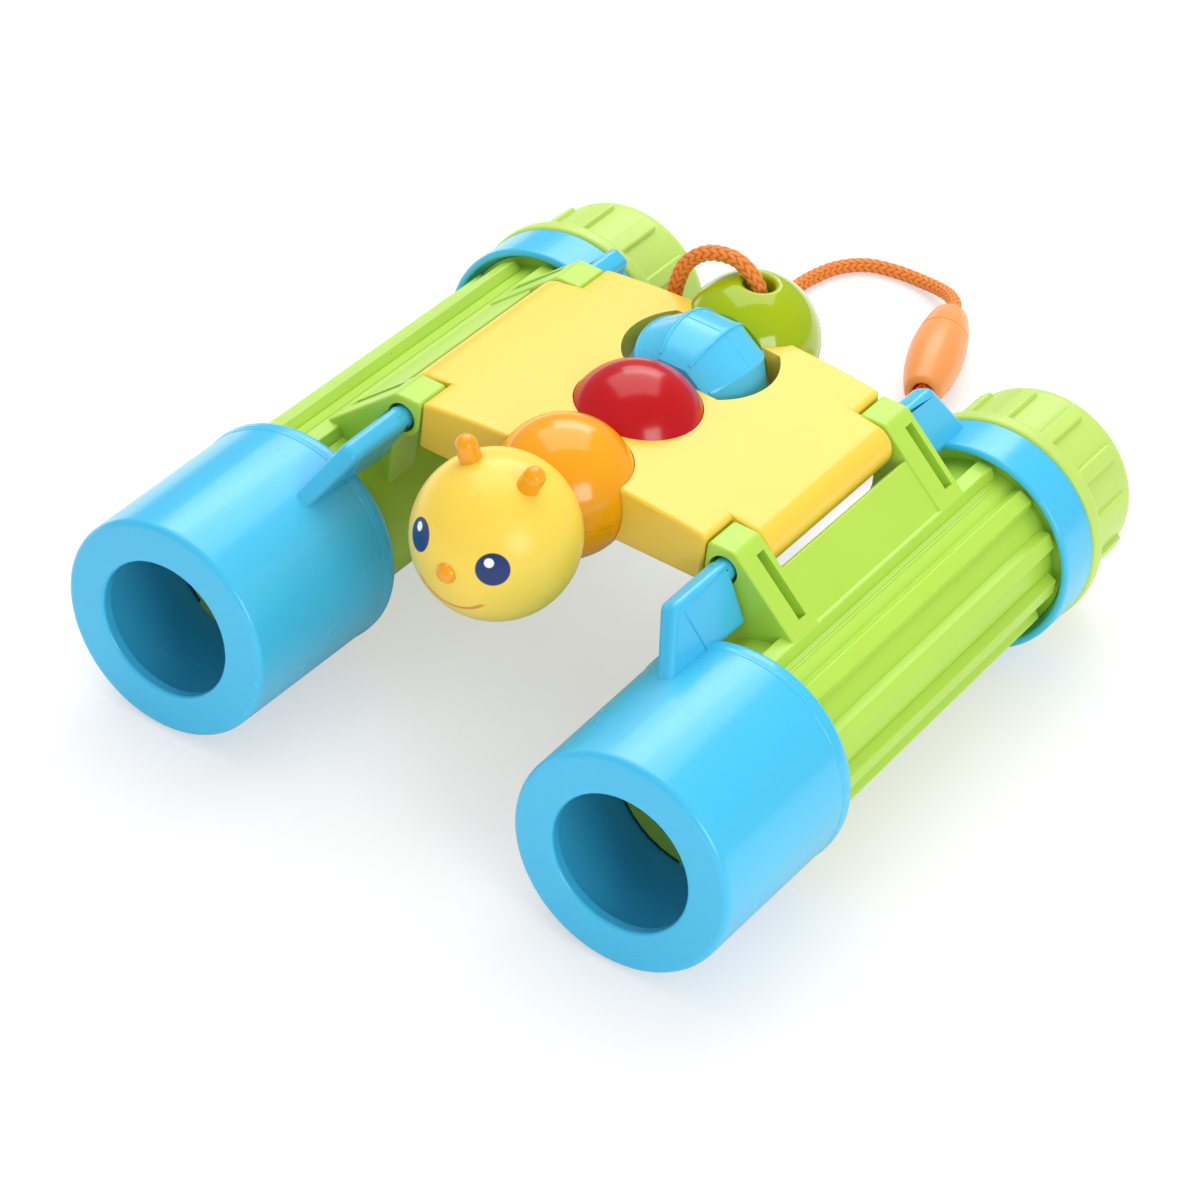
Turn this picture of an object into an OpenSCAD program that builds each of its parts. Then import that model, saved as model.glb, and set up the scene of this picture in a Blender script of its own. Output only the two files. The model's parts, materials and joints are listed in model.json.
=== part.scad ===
// Toy binoculars: two barrels hinged on a bridge plate, which carries a crawler of ball
// segments, a turning focus wheel and a bead with the neck cord. Millimetres, +Z up.
// The eyepieces point to +Y, the crawler's head to -Y. The origin is on the floor under the
// middle of the barrels, which lie opened out as far as they go.

/* [Barrels] */
// Distance between the two barrel axes, opened out
barrel_spacing = 90.4; // [86:0.2:96]
// Radius of the barrel between its ribs
tube_r = 16.1; // [15.2:0.1:16.8]
// Wall of the barrel tube
tube_wall = 2.1; // [1.4:0.1:3]
// Height of the ribs above the barrel between them
rib_h = 1.8; // [1:0.1:2.4]
// Number of ribs on the outer half of a barrel
rib_count = 7; // [4:1:9]
// Width of a rib at its top
rib_w = 2.6; // [1.8:0.1:3.6]
// Width that a rib gains on each side towards its foot
rib_flank = 0.9; // [0.4:0.1:1.4]

/* [Front cups] */
// Length of a cup
cup_len = 37.8; // [32:0.2:44]
// Wall of a cup round the barrel's ribs
cup_wall = 2.1; // [1.4:0.1:2.5]
// Radius of the hole in a cup's face
cup_hole_r = 12.5; // [9:0.1:14.5]
// Thickness of a cup's face
cup_face = 2.4; // [1.6:0.1:4]
// Rounding of a cup's front edge
cup_fillet = 1.2; // [0.6:0.1:2]
// Rounding of the edge of the hole
hole_lip = 0.8; // [0.4:0.1:1.4]
// Length of the thicker rim at the back of a cup
rim_len = 3; // [2:0.1:5]
// Step from a cup out to its rim, on which the barrel lies on a floor
rim_step = 0.6; // [0.4:0.1:1.2]
// Rounding of the rim's back edge
rim_fillet = 1; // [0.4:0.1:1.6]
// Depth from a cup's face to the barrel tube that seats inside it
cup_cavity = 24; // [18:0.5:28]

/* [Bridge] */
// Length of the bridge plate
bridge_len = 56.5; // [50:0.5:64]
// Gap between a cup's back edge and the front of the bridge
cup_to_bridge = 8.2; // [6:0.1:11]
// Distance between the two hinge axes
hinge_spacing = 64.2; // [60:0.2:67]
// Height of the hinge axes above the barrel axes
hinge_rise = 25.3; // [24:0.1:27]
// Radius of the bridge's rounded side edges, round the hinge axes
edge_r = 4.2; // [3.6:0.1:5]
// Rise of the bridge's crowned top at its middle
crown = 2.3; // [1:0.1:4]
// Wall of the two bridge covers
cover_wall = 1.9; // [1.2:0.1:2.2]
// Radius of the hinge pins
pin_r = 2.3; // [1.8:0.1:2.6]
// Length of a hinge pin inside the bridge
pin_depth = 9; // [6:0.5:14]
// Width of a hinge arm along the barrel
arm_w = 7.9; // [6:0.1:10]

/* [Rear bands and eyepieces] */
// Gap between the back of the bridge and a rear band
bridge_to_band = 9.1; // [7:0.1:12]
// Length of a rear band
band_len = 9.6; // [8:0.1:12]
// Wall of a rear band round the barrel's end
band_wall = 2.3; // [1.6:0.1:2.6]
// Length of an eyepiece's flange
flange_len = 3.8; // [2.5:0.1:6]
// Length of the ribbed knob behind the flange
knob_len = 18; // [14:0.5:24]
// Wall of the knob round its bore
knob_wall = 5.6; // [3:0.1:6]
// Rounding of the knob's back edge
knob_fillet = 2.4; // [1:0.1:3.5]
// Number of grip ribs on a knob
grip_count = 12; // [8:1:16]
// Height of a grip rib
grip_h = 0.9; // [0.4:0.1:1.2]
// Width of a grip rib
grip_w = 2.8; // [1.6:0.1:3.6]
// Radius of the hole that the eye looks into
eye_hole_r = 9; // [6:0.1:10.5]

/* [Lenses] */
// Edge thickness of the front lenses
objective_edge = 1.8; // [1.2:0.1:3]
// Edge thickness of the eyepiece lenses
eye_lens_edge = 1.6; // [1.2:0.1:2.6]
// Rise of the lenses' curved faces
lens_bulge = 0.8; // [0.4:0.1:1.4]
// Thickness of the rings that hold the lenses
ring_t = 1.5; // [1:0.1:2.5]
// Width of the face of those rings
ring_w = 1.8; // [1.2:0.1:2.6]

/* [Ball crawler] */
// Radius of the ball segments and the tail bead
segment_r = 12.35; // [11.6:0.05:13]
// Radius of the head
head_r = 14.2; // [13:0.1:15.5]
// Height of the head's centre above the segments' centres
head_rise = 1.1; // [0:0.1:2]
// Distance from the head's centre to the front segment's centre
head_pitch = 20; // [18:0.2:22]
// Distance of the front segment's centre behind the bridge's front edge
front_in = 1.4; // [0:0.1:4]
// Distance of the tail bead's centre behind the bridge's back edge
tail_out = 4; // [3:0.1:6]
// Distance from the focus wheel's centre to the tail bead's centre
wheel_pitch = 17.8; // [16.5:0.1:20]
// Radius of the focus wheel over its ridges
wheel_r = 12.8; // [12:0.1:13.4]
// Number of flat panels round the focus wheel
wheel_panels = 10; // [8:1:12]
// Radius of the rod through the segments, on which the wheel turns
rod_r = 1.5; // [1:0.1:2]
// Radius of an antenna
antenna_r = 1.9; // [1.4:0.1:2.4]
// Length of an antenna outside the head
antenna_len = 4.3; // [2.6:0.1:6]
// Radius of the nose
nose_r = 1.9; // [1.2:0.1:2.6]
// Radius of the hole through the tail bead
bead_hole_r = 2.85; // [2.4:0.05:3.2]

/* [Neck cord] */
// Diameter of the cord
cord_d = 3; // [2.6:0.1:3.2]
// Length of the pull-apart connector
connector_len = 28.5; // [25:0.5:33]
// Largest radius of the connector
connector_r = 5.5; // [4.6:0.1:5.5]
// Loops in the stored coil
coil_loops = 2; // [2:1:4]

/* [Hidden] */
$fn = 64;

// Colours of the mouldings
blue = "#4cc0f0";
leaf_green = "#a9dc4c";
pale_green = "#b8e25e";
yellow = "#ffe06a";
orange = "#f7a81b";
red = "#cc1020";
olive = "#b5c800";
cord_orange = "#f0822a";
peach = "#f5a562";
clear = "#dfeef5";
steel = "#b9bdc2";
black = "#2c2c2e";

// Clearances: cuts run past their faces, pins run in bores, pieces slip into seats, and
// moving pieces pass each other
overrun = 1;
run_gap = 0.05;
seat_gap = 0.1;
pass_gap = 0.3;

// Places along the barrels, from the front
barrel_len = cup_len + cup_to_bridge + bridge_len + bridge_to_band + band_len + flange_len + knob_len;
front_y = -barrel_len / 2;
tube_y = front_y + cup_cavity;
rim_y = front_y + cup_len;
bridge_y = rim_y + cup_to_bridge;
bridge_end = bridge_y + bridge_len;
band_y = bridge_end + bridge_to_band;
band_end = band_y + band_len;
knob_y = band_end + flange_len;
knob_end = knob_y + knob_len;

// Radii of a barrel from the inside out: each piece fits round the one before it
bore_r = tube_r - tube_wall;
rib_r = tube_r + rib_h;
socket_r = rib_r + seat_gap;
cup_r = socket_r + cup_wall;
rest_r = cup_r + rim_step;
band_r = socket_r + band_wall;

// Hinges, seen from the barrel axis
hinge_x = hinge_spacing / 2;
hinge_z = rest_r + hinge_rise;
hinge_in = barrel_spacing / 2 - hinge_x;
hinge_d = norm([hinge_in, hinge_rise]);
hinge_angle = atan2(hinge_in, hinge_rise);

// Barrel tube: the ribs step round the outer half, and the arms and web rise to the hinge
wall_mid_r = tube_r - tube_wall / 2;
rib_first = 1.5;
rib_last = 178.5;
rib_end = band_y + rib_flank;
rib_root = tube_r - rib_flank;
seat_y = band_y + 3 * rib_flank;
lens_seat_r = bore_r + tube_wall / 3;
arm_top_in = edge_r - 2 * pass_gap;
arm_top_out_share = 0.4;
arm_in_share = 0.2;
slope_foot_angle = 5.7;
arm_foot_angle = 24;
web_top_share = 0.39;
web_t = 2;
web_foot_angle = 8;
groove_w = 2.2;
groove_depth = 3;
groove_from_share = 0.14;
groove_to_share = 0.86;
groove_place_share = 0.66;

// Cup, band and their wings, which carry the hinge pins
shoulder_w = 1.5;
cavity_r = socket_r - shoulder_w;
wing_t = 4.2;
wing_tip_t = 2.4;
wing_low_r = (socket_r + cup_r) / 2;
wing_foot_share = 0.6;
wing_top_share = 0.8;
tab_low_r = (socket_r + band_r) / 2;
tab_top_share = 0.54;
tab_foot_share = 0.93;
band_lip = 1.2;

// Eyepiece
spigot_r = bore_r - run_gap;
spigot_len = 7;
spigot_wall = 2;
knob_bore_r = bore_r - spigot_wall;
knob_r = knob_bore_r + knob_wall;
knob_face = 8;
lens_gap = seat_gap / 2;
flange_rounding = flange_len / 5;
grip_from_share = 0.1;
grip_to_share = 0.74;

// Crawler: ball centres along the bridge, and the flat faces where the balls meet
spine_rise_share = 0.17;
spine_z = hinge_z + spine_rise_share * edge_r;
front_ball_y = bridge_y + front_in;
tail_y = bridge_end + tail_out;
wheel_y = tail_y - wheel_pitch;
middle_share = 0.52;
middle_y = between(front_ball_y, wheel_y, middle_share);
head_y = front_ball_y - head_pitch;
head_z = spine_z + head_rise;
neck_y = head_y + (head_pitch + (head_r * head_r - segment_r * segment_r) / head_pitch) / 2;
front_joint_y = (front_ball_y + middle_y) / 2;
wheel_front_y = (middle_y + wheel_y) / 2;
wheel_back_y = (wheel_y + tail_y) / 2;
rod_front_y = (head_y + neck_y) / 2;
rod_back_y = (wheel_back_y + tail_y - bead_hole_r) / 2;
bead_flare = 1;
antenna_lean = 23.4;
antenna_pitch = 5;
well_gap = 1;
wheel_shoulder_share = 0.5;
wheel_shoulder_r_share = 0.94;
wheel_side_r_share = 0.68;

// Bridge covers: notches for the hinge arms, pockets and screws
notch_x = hinge_x - arm_top_in - pass_gap;
notch_len = arm_w + pass_gap;
crown_r = (hinge_x * hinge_x + crown * crown) / (2 * crown);
pocket_in = segment_r + 3 * cover_wall;
screw_r = 1.25;
screw_head_r = 2.4;
screw_head_h = 1.6;
screw_len = 6.4;
screw_x = (pocket_in + notch_x) / 2;
screw_in = notch_len / 3;
skirt_step_len = 17;
skirt_step_share = 0.3;

// Neck cord: it hangs from the bead and lies on the floor, where the rest of it is stored as a coil
cord_r = cord_d / 2;
cord_sides = 8;
short_route = [
    [0.9, 35, 47], [0.9, 35, 50.3], [0.9, 35, 53.6], [0.35, 35, 56.4], [-1.2, 35, 58.7],
    [-3.55, 35, 60.3], [-6.4, 35, 60.9], [-11, 35, 59.6], [-14.6, 35, 56], [-16.1, 35, 51],
    [-16.4, 35.5, 46], [-15.5, 36, 40.5], [-12.3, 36.5, 34.5], [-8, 37, 29], [-3.8, 39, 23],
    [0, 41.5, 16], [3, 45.5, 9], [5.5, 51.2, 3.9], [6.8, 58, 1.8], [7.2, 65.5, 1.6],
    [7.6, 73, 1.6], [8, 80.5, 2], [8.2, 87, 3.4], [7.6, 93, 5], [5.9, 98.3, 5.5], [4.4, 103, 5.5],
];
long_route = [
    [0.9, 35, 47], [0.9, 35, 41], [0.7, 35, 35], [0.2, 35, 27], [-0.7, 35.3, 19], [-2, 36.3, 11.5],
    [-3.8, 38.5, 5.5], [-5.5, 42.5, 2.3], [-6.8, 48.5, 1.6], [-7.8, 55.5, 1.6], [-8.8, 62.5, 1.6],
    [-10.5, 69, 1.6], [-14.5, 73.6, 1.6], [-20.5, 75.2, 1.7], [-27.5, 75, 1.8], [-34.5, 74.4, 2],
    [-41.5, 74, 2.2], [-48, 73.4, 2.3], [-54, 72.4, 2.3], [-58.2, 72, 2.3], [-61.2, 72, 2.3],
];
loop_route = [
    [-61.2, 104.6, 5.8], [-58.2, 104.6, 5.8], [-54.2, 103.6, 4.9], [-50, 101.6, 3.2],
    [-45.8, 100.6, 1.9], [-41.6, 102, 1.6], [-38.4, 105.8, 1.6], [-36, 111.5, 1.6],
    [-34.7, 118, 1.6], [-34, 124.5, 1.6], [-32, 131.5, 1.6], [-28, 136.5, 1.6], [-22, 138.6, 1.6],
    [-15.5, 138.4, 2], [-10, 136, 3.4], [-6.6, 132.6, 4.9], [-4.4, 129.4, 5.5], [-3, 125.4, 5.5],
    [-1.5, 120.8, 5.5],
];

// Stored coil: it takes over where the long cord ends, and hands over where the loop cord starts
coil_rings = 24;
coil_sides = 6;
coil_pitch = 3.5;
coil_end_turn = 0.5;
coil_turns = coil_loops - coil_end_turn;
coil_in = last(long_route);
coil_out = loop_route[0];
coil_out_r = (coil_out[1] - coil_in[1]) / 2;
coil_x = coil_in[0] - cord_d;
coil_y = coil_in[1] + coil_out_r;
tie_w = 4;
tie_t = 0.4;
tie_gap = 0.3;

// Connector: it lies on the floor between the ends of the short cord and the loop cord
connector_span = last(loop_route) - last(short_route);
connector_mid = (last(loop_route) + last(short_route)) / 2;
connector_yaw = atan2(-connector_span[0], connector_span[1]);
connector_bore = norm(connector_span) / 2;
connector_end_r = 3.5;
connector_mouth_r = 1.9;
connector_seam_share = 0.2;
connector_tongue_r = 2.6;
connector_tongue_len = 5;

function unit(v) = v / norm(v);
function arc(x, y, r, from, to, steps) =
    [for (i = [0 : steps]) let (a = from + (to - from) * i / steps) [x + r * cos(a), y + r * sin(a)]];
function on_barrel(r, angle) = [-r * sin(angle), r * cos(angle)];
function between(a, b, share) = a + (b - a) * share;
function last(list) = list[len(list) - 1];
function smooth(t) = t <= 0 ? 0 : t >= 1 ? 1 : t * t * (3 - 2 * t);

// Turns a profile of [radius, y] points about the Y axis
module turned(profile) {
    rotate([-90, 0, 0]) rotate_extrude() polygon(profile);
}

// Extrudes a shape drawn in X and Z along Y
module along_y(from, length) {
    translate([0, from + length, 0]) rotate([90, 0, 0]) linear_extrude(length) children();
}

// Extrudes a shape drawn in Y and Z along X, centred
module across_x(width) {
    rotate([90, 0, 90]) linear_extrude(width, center = true) children();
}

module rod_y(r, from, length) {
    translate([0, from, 0]) rotate([-90, 0, 0]) cylinder(r = r, h = length);
}

module ball(r, y, z) {
    translate([0, y, z]) sphere(r);
}

// Puts a piece drawn round the right barrel's axis on its side
module on_barrel_side(side) {
    mirror([side < 0 ? 1 : 0, 0, 0]) translate([barrel_spacing / 2, 0, rest_r]) children();
}

// Turns a piece so that its Z axis points from the barrel axis to the hinge
module towards_hinge() {
    rotate([0, -hinge_angle, 0]) children();
}

// Barrel tube
arm_corner = [-hinge_in + arm_top_out_share * edge_r, hinge_rise + edge_r];
slope_foot = on_barrel(rib_r, -slope_foot_angle);
slope_dir = unit(slope_foot - arm_corner);
slope_in = [slope_dir[1], -slope_dir[0]];

module arm_outline() {
    in_x = -hinge_in + arm_in_share * edge_r;
    polygon([
        [-hinge_in - arm_top_in, hinge_rise],
        [-hinge_in - arm_top_in, hinge_rise + edge_r],
        arm_corner,
        slope_foot,
        on_barrel(wall_mid_r, 0),
        on_barrel(wall_mid_r, hinge_angle),
        on_barrel(wall_mid_r, hinge_angle + arm_foot_angle),
        [in_x, hinge_rise - edge_r],
        [in_x, hinge_rise],
    ]);
    translate([-hinge_in, hinge_rise]) circle(arm_top_in);
}

module web_outline() {
    top = between(arm_corner, slope_foot, web_top_share);
    polygon([
        top,
        slope_foot,
        on_barrel(wall_mid_r, -slope_foot_angle),
        on_barrel(wall_mid_r, web_foot_angle),
        top + slope_in * web_t,
    ]);
}

module arm_groove(from) {
    start = between(arm_corner, slope_foot, groove_from_share);
    stop = between(arm_corner, slope_foot, groove_to_share);
    along_y(from, groove_w) polygon([
        start - slope_in * overrun,
        stop - slope_in * overrun,
        stop + slope_in * groove_depth,
        start + slope_in * groove_depth,
    ]);
}

module rib(angle) {
    foot = rib_w / 2 + rib_flank;
    rotate([0, angle, 0]) along_y(tube_y, rib_end - tube_y)
        polygon([[-foot, rib_root], [foot, rib_root], [rib_w / 2, rib_r], [-rib_w / 2, rib_r]]);
}

module tube_body() {
    rear_arm_y = bridge_end - arm_w;
    difference() {
        union() {
            rod_y(tube_r, tube_y, band_end - tube_y);
            rod_y(rib_r, seat_y, band_end - seat_y);
            for (i = [0 : rib_count - 1])
                rib(rib_first + (rib_last - rib_first) * i / (rib_count - 1));
            along_y(bridge_y, arm_w) arm_outline();
            along_y(rear_arm_y, arm_w) arm_outline();
            along_y(bridge_y + arm_w / 2, bridge_len - arm_w) web_outline();
        }
        rod_y(bore_r, tube_y - overrun, band_end - tube_y + 2 * overrun);
        rod_y(lens_seat_r, tube_y - overrun, objective_edge + ring_t + overrun);
        translate([-hinge_in, 0, hinge_rise])
            rod_y(pin_r + run_gap, bridge_y - overrun, bridge_len + 2 * overrun);
        arm_groove(bridge_y + groove_place_share * arm_w - groove_w / 2);
        arm_groove(rear_arm_y + groove_place_share * arm_w - groove_w / 2);
    }
}

module left_barrel_tube() { color(leaf_green) on_barrel_side(-1) tube_body(); }
module right_barrel_tube() { color(leaf_green) on_barrel_side(1) tube_body(); }

// Front cup: a hollow turned shell whose wing ends in the front hinge pin
module cup_shell() {
    crease_y = rim_y - rim_len;
    turned(concat(
        arc(cup_hole_r + hole_lip, front_y + hole_lip, hole_lip, 180, 270, 5),
        arc(cup_r - cup_fillet, front_y + cup_fillet, cup_fillet, 270, 360, 6),
        [[cup_r, crease_y], [rest_r, crease_y + rim_step]],
        arc(rest_r - rim_fillet, rim_y - rim_fillet, rim_fillet, 0, 90, 5),
        [[socket_r, rim_y], [socket_r, tube_y], [cavity_r, tube_y]],
        [[cavity_r, front_y + cup_face], [cup_hole_r, front_y + cup_face]]
    ));
}

module wing_plate(outline, plan) {
    intersection() {
        across_x(wing_t + 2 * overrun) polygon(outline);
        linear_extrude(hinge_d + pin_r) polygon(plan);
    }
}

module cup_wing() {
    wing_end = bridge_y - pass_gap;
    foot_y = between(front_y, rim_y, wing_foot_share);
    top_y = between(front_y, rim_y, wing_top_share);
    full_y = rim_y - rim_len / 2;
    towards_hinge() {
        wing_plate(
            [[foot_y, wing_low_r], [wing_end, wing_low_r], [wing_end, hinge_d], [top_y, hinge_d]],
            [
                [-wing_tip_t / 2, foot_y - overrun], [wing_tip_t / 2, foot_y - overrun],
                [wing_t / 2, full_y], [wing_t / 2, wing_end + overrun],
                [-wing_t / 2, wing_end + overrun], [-wing_t / 2, full_y],
            ]
        );
        translate([0, 0, hinge_d]) rod_y(pin_r, top_y, bridge_y + notch_len + pin_depth - top_y);
    }
}

module cup_body() {
    union() {
        cup_shell();
        cup_wing();
    }
}

module left_front_cup() { color(blue) on_barrel_side(-1) cup_body(); }
module right_front_cup() { color(blue) on_barrel_side(1) cup_body(); }

// Rear band: a ring with a rolled front lip, whose tab ends in the rear hinge pin
module band_ring() {
    turned(concat(
        [[socket_r, seat_y], [rib_r + band_lip, band_y + band_lip]],
        arc(band_r - band_lip, band_y + band_lip, band_lip, 270, 360, 5),
        [[band_r, band_end], [socket_r, band_end]]
    ));
}

module band_tab() {
    tab_y = bridge_end + pass_gap;
    top_y = between(tab_y, band_end, tab_top_share);
    foot_y = between(tab_y, band_end, tab_foot_share);
    towards_hinge() {
        across_x(wing_t)
            polygon([[tab_y, tab_low_r], [foot_y, tab_low_r], [top_y, hinge_d], [tab_y, hinge_d]]);
        translate([0, 0, hinge_d])
            rod_y(pin_r, bridge_end - notch_len - pin_depth, top_y - bridge_end + notch_len + pin_depth);
    }
}

module band_body() {
    union() {
        band_ring();
        band_tab();
    }
}

module left_rear_band() { color(blue) on_barrel_side(-1) band_body(); }
module right_rear_band() { color(blue) on_barrel_side(1) band_body(); }

// Eyepiece: a flange and ribbed knob on a spigot that turns in the barrel's end
module grip_rib(angle) {
    from = between(knob_y, knob_end, grip_from_share);
    length = knob_len * (grip_to_share - grip_from_share);
    rotate([0, angle, 0]) translate([-grip_w / 2, from, knob_bore_r])
        cube([grip_w, length, knob_r + grip_h - knob_bore_r]);
}

module eyepiece_body() {
    difference() {
        union() {
            rod_y(spigot_r, band_end - spigot_len, spigot_len + flange_len);
            turned(concat(
                [[0, band_end]],
                arc(rest_r - flange_rounding, band_end + flange_rounding, flange_rounding, 270, 360, 3),
                arc(rest_r - flange_rounding, knob_y - flange_rounding, flange_rounding, 0, 90, 3),
                [[knob_r, knob_y]],
                arc(knob_r - knob_fillet, knob_end - knob_fillet, knob_fillet, 0, 90, 6),
                [[0, knob_end]]
            ));
            for (i = [0 : grip_count - 1])
                grip_rib(360 * (i + 0.5) / grip_count);
        }
        rod_y(knob_bore_r, band_end - spigot_len - overrun,
            spigot_len + flange_len + knob_len - knob_face + overrun);
        rod_y(eye_hole_r, band_end, flange_len + knob_len + overrun);
    }
}

module left_eyepiece() { color(pale_green) on_barrel_side(-1) eyepiece_body(); }
module right_eyepiece() { color(pale_green) on_barrel_side(1) eyepiece_body(); }

// Lenses: a flat rim, with a shallow dome on the front face and, on a double lens, on the back
function dome(open, y, rise) =
    [for (i = [0 : 6]) let (share = i / 6) [open * share, y + rise * (1 - share * share)]];
function reversed(list) = [for (i = [len(list) - 1 : -1 : 0]) list[i]];

module lens(r, open, edge, from, double) {
    back = from + edge;
    turned(concat(
        dome(open, from, -lens_bulge),
        [[r, from], [r, back]],
        double ? reversed(dome(open, back, lens_bulge)) : [[0, back]]
    ));
}

module lens_ring(r, from) {
    difference() {
        rod_y(r, from, ring_t);
        rod_y(r - ring_w, from - overrun, ring_t + 2 * overrun);
    }
}

objective_r = lens_seat_r - lens_gap;
eye_lens_r = knob_bore_r - lens_gap;
eye_lens_y = knob_end - knob_face - eye_lens_edge;

module objective_lens_body() {
    lens(objective_r, objective_r - ring_w, objective_edge, tube_y + ring_t, true);
}

module objective_ring_body() { lens_ring(objective_r, tube_y); }

module eyepiece_lens_body() {
    lens(eye_lens_r, eye_lens_r - ring_w, eye_lens_edge, eye_lens_y, false);
}

module eyepiece_ring_body() { lens_ring(eye_lens_r, eye_lens_y - ring_t); }

module left_objective_lens() { color(clear) on_barrel_side(-1) objective_lens_body(); }
module right_objective_lens() { color(clear) on_barrel_side(1) objective_lens_body(); }
module left_objective_ring() { color(leaf_green) on_barrel_side(-1) objective_ring_body(); }
module right_objective_ring() { color(leaf_green) on_barrel_side(1) objective_ring_body(); }
module left_eyepiece_lens() { color(clear) on_barrel_side(-1) eyepiece_lens_body(); }
module right_eyepiece_lens() { color(clear) on_barrel_side(1) eyepiece_lens_body(); }
module left_eyepiece_ring() { color(black) on_barrel_side(-1) eyepiece_ring_body(); }
module right_eyepiece_ring() { color(black) on_barrel_side(1) eyepiece_ring_body(); }

// Bridge: one crowned plate with rounded sides, parted at the hinge axes into two covers
module bridge_section() {
    intersection() {
        translate([-hinge_x, hinge_z - edge_r]) square([hinge_spacing, 2 * edge_r + crown]);
        translate([0, hinge_z + edge_r + crown - crown_r]) circle(crown_r, $fn = 180);
    }
    for (side = [-1, 1])
        translate([side * hinge_x, hinge_z]) circle(edge_r);
}

module hinge_cuts() {
    for (side = [-1, 1]) {
        for (y = [bridge_y - overrun, bridge_end - notch_len])
            translate([side > 0 ? notch_x : -notch_x - hinge_x, y, hinge_z - 2 * edge_r])
                cube([hinge_x, notch_len + overrun, 4 * edge_r]);
        translate([side * hinge_x, 0, hinge_z])
            for (y = [bridge_y, bridge_end - notch_len - pin_depth - pass_gap])
                rod_y(pin_r + run_gap, y, notch_len + pin_depth + pass_gap);
    }
}

module segment_seats() {
    for (y = [front_ball_y, middle_y, tail_y])
        ball(segment_r + seat_gap, y, spine_z);
    intersection() {
        translate([0, wheel_y, hinge_z - 2 * edge_r])
            cylinder(r = wheel_r + well_gap, h = 4 * edge_r + crown);
        translate([-hinge_x, wheel_front_y, hinge_z - 2 * edge_r])
            cube([hinge_spacing, wheel_back_y - wheel_front_y, 4 * edge_r + crown]);
    }
}

// Pockets on both sides of the parting, between the walls and the screws
module pockets() {
    pocket_y = bridge_y + notch_len + screw_in + screw_head_r + cover_wall;
    height = 2 * (edge_r - cover_wall);
    for (side = [-1, 1])
        translate([side > 0 ? pocket_in : -notch_x, pocket_y, hinge_z - height / 2])
            cube([notch_x - pocket_in, 2 * (bridge_y + bridge_len / 2 - pocket_y), height]);
}

module at_screws() {
    for (x = [-screw_x, screw_x], y = [bridge_y + notch_len + screw_in, bridge_end - notch_len - screw_in])
        translate([x, y, hinge_z - edge_r]) children();
}

module screw(gap) {
    translate([0, 0, screw_head_h]) cylinder(r = screw_r + gap, h = screw_len + gap);
    cylinder(r = screw_head_r + gap, h = screw_head_h);
}

module bridge_half(above) {
    difference() {
        intersection() {
            along_y(bridge_y, bridge_len) bridge_section();
            translate([-hinge_spacing, bridge_y - overrun, above ? hinge_z : hinge_z - hinge_spacing])
                cube([2 * hinge_spacing, bridge_len + 2 * overrun, hinge_spacing]);
        }
        hinge_cuts();
        segment_seats();
        pockets();
        at_screws() screw(run_gap);
        at_screws() translate([0, 0, -overrun]) cylinder(r = screw_head_r + run_gap, h = 2 * overrun);
    }
}

module bridge_top_cover() { color(yellow) bridge_half(true); }

module bridge_bottom_cover() {
    step_h = skirt_step_share * edge_r;
    color(yellow) difference() {
        bridge_half(false);
        for (side = [-1, 1])
            translate([side > 0 ? notch_x : -notch_x - hinge_x, bridge_y, hinge_z - edge_r - overrun])
                cube([hinge_x, notch_len + skirt_step_len, step_h + overrun]);
    }
}

module bridge_screws() { color(steel) at_screws() screw(0); }

// Keeps what lies between two planes across Y
module slab(from, to) {
    size = 4 * segment_r;
    intersection() {
        children();
        translate([-size / 2, from, spine_z - size / 2]) cube([size, to - from, size]);
    }
}

module spine_bore() {
    translate([0, 0, spine_z])
        rod_y(rod_r + run_gap, rod_front_y - run_gap, rod_back_y - rod_front_y + 2 * run_gap);
}

module front_segment_half(above) {
    size = 4 * segment_r;
    difference() {
        slab(neck_y, front_joint_y) ball(segment_r, front_ball_y, spine_z);
        translate([-size / 2, neck_y - overrun, above ? hinge_z - size : hinge_z])
            cube([size, size, size]);
        spine_bore();
    }
}

module front_segment_upper() { color(orange) front_segment_half(true); }
module front_segment_lower() { color(orange) front_segment_half(false); }

module middle_segment() {
    color(red) difference() {
        slab(front_joint_y, wheel_front_y - pass_gap / 2) ball(segment_r, middle_y, spine_z);
        spine_bore();
    }
}

// Tail bead: the cord's hole goes down through it and widens at both mouths
module tail_bead() {
    mouth = sqrt(segment_r * segment_r - bead_hole_r * bead_hole_r);
    color(olive) difference() {
        slab(wheel_back_y + pass_gap / 2, tail_y + 2 * segment_r) ball(segment_r, tail_y, spine_z);
        spine_bore();
        translate([0, tail_y, spine_z]) {
            cylinder(r = bead_hole_r, h = 4 * segment_r, center = true);
            for (up = [0, 1])
                mirror([0, 0, up]) translate([0, 0, mouth - bead_flare])
                    cylinder(r1 = bead_hole_r, r2 = bead_hole_r + 2 * bead_flare, h = 2 * bead_flare);
        }
    }
}

module spine_rod() {
    color(steel) translate([0, 0, spine_z]) rod_y(rod_r, rod_front_y, rod_back_y - rod_front_y);
}

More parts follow.
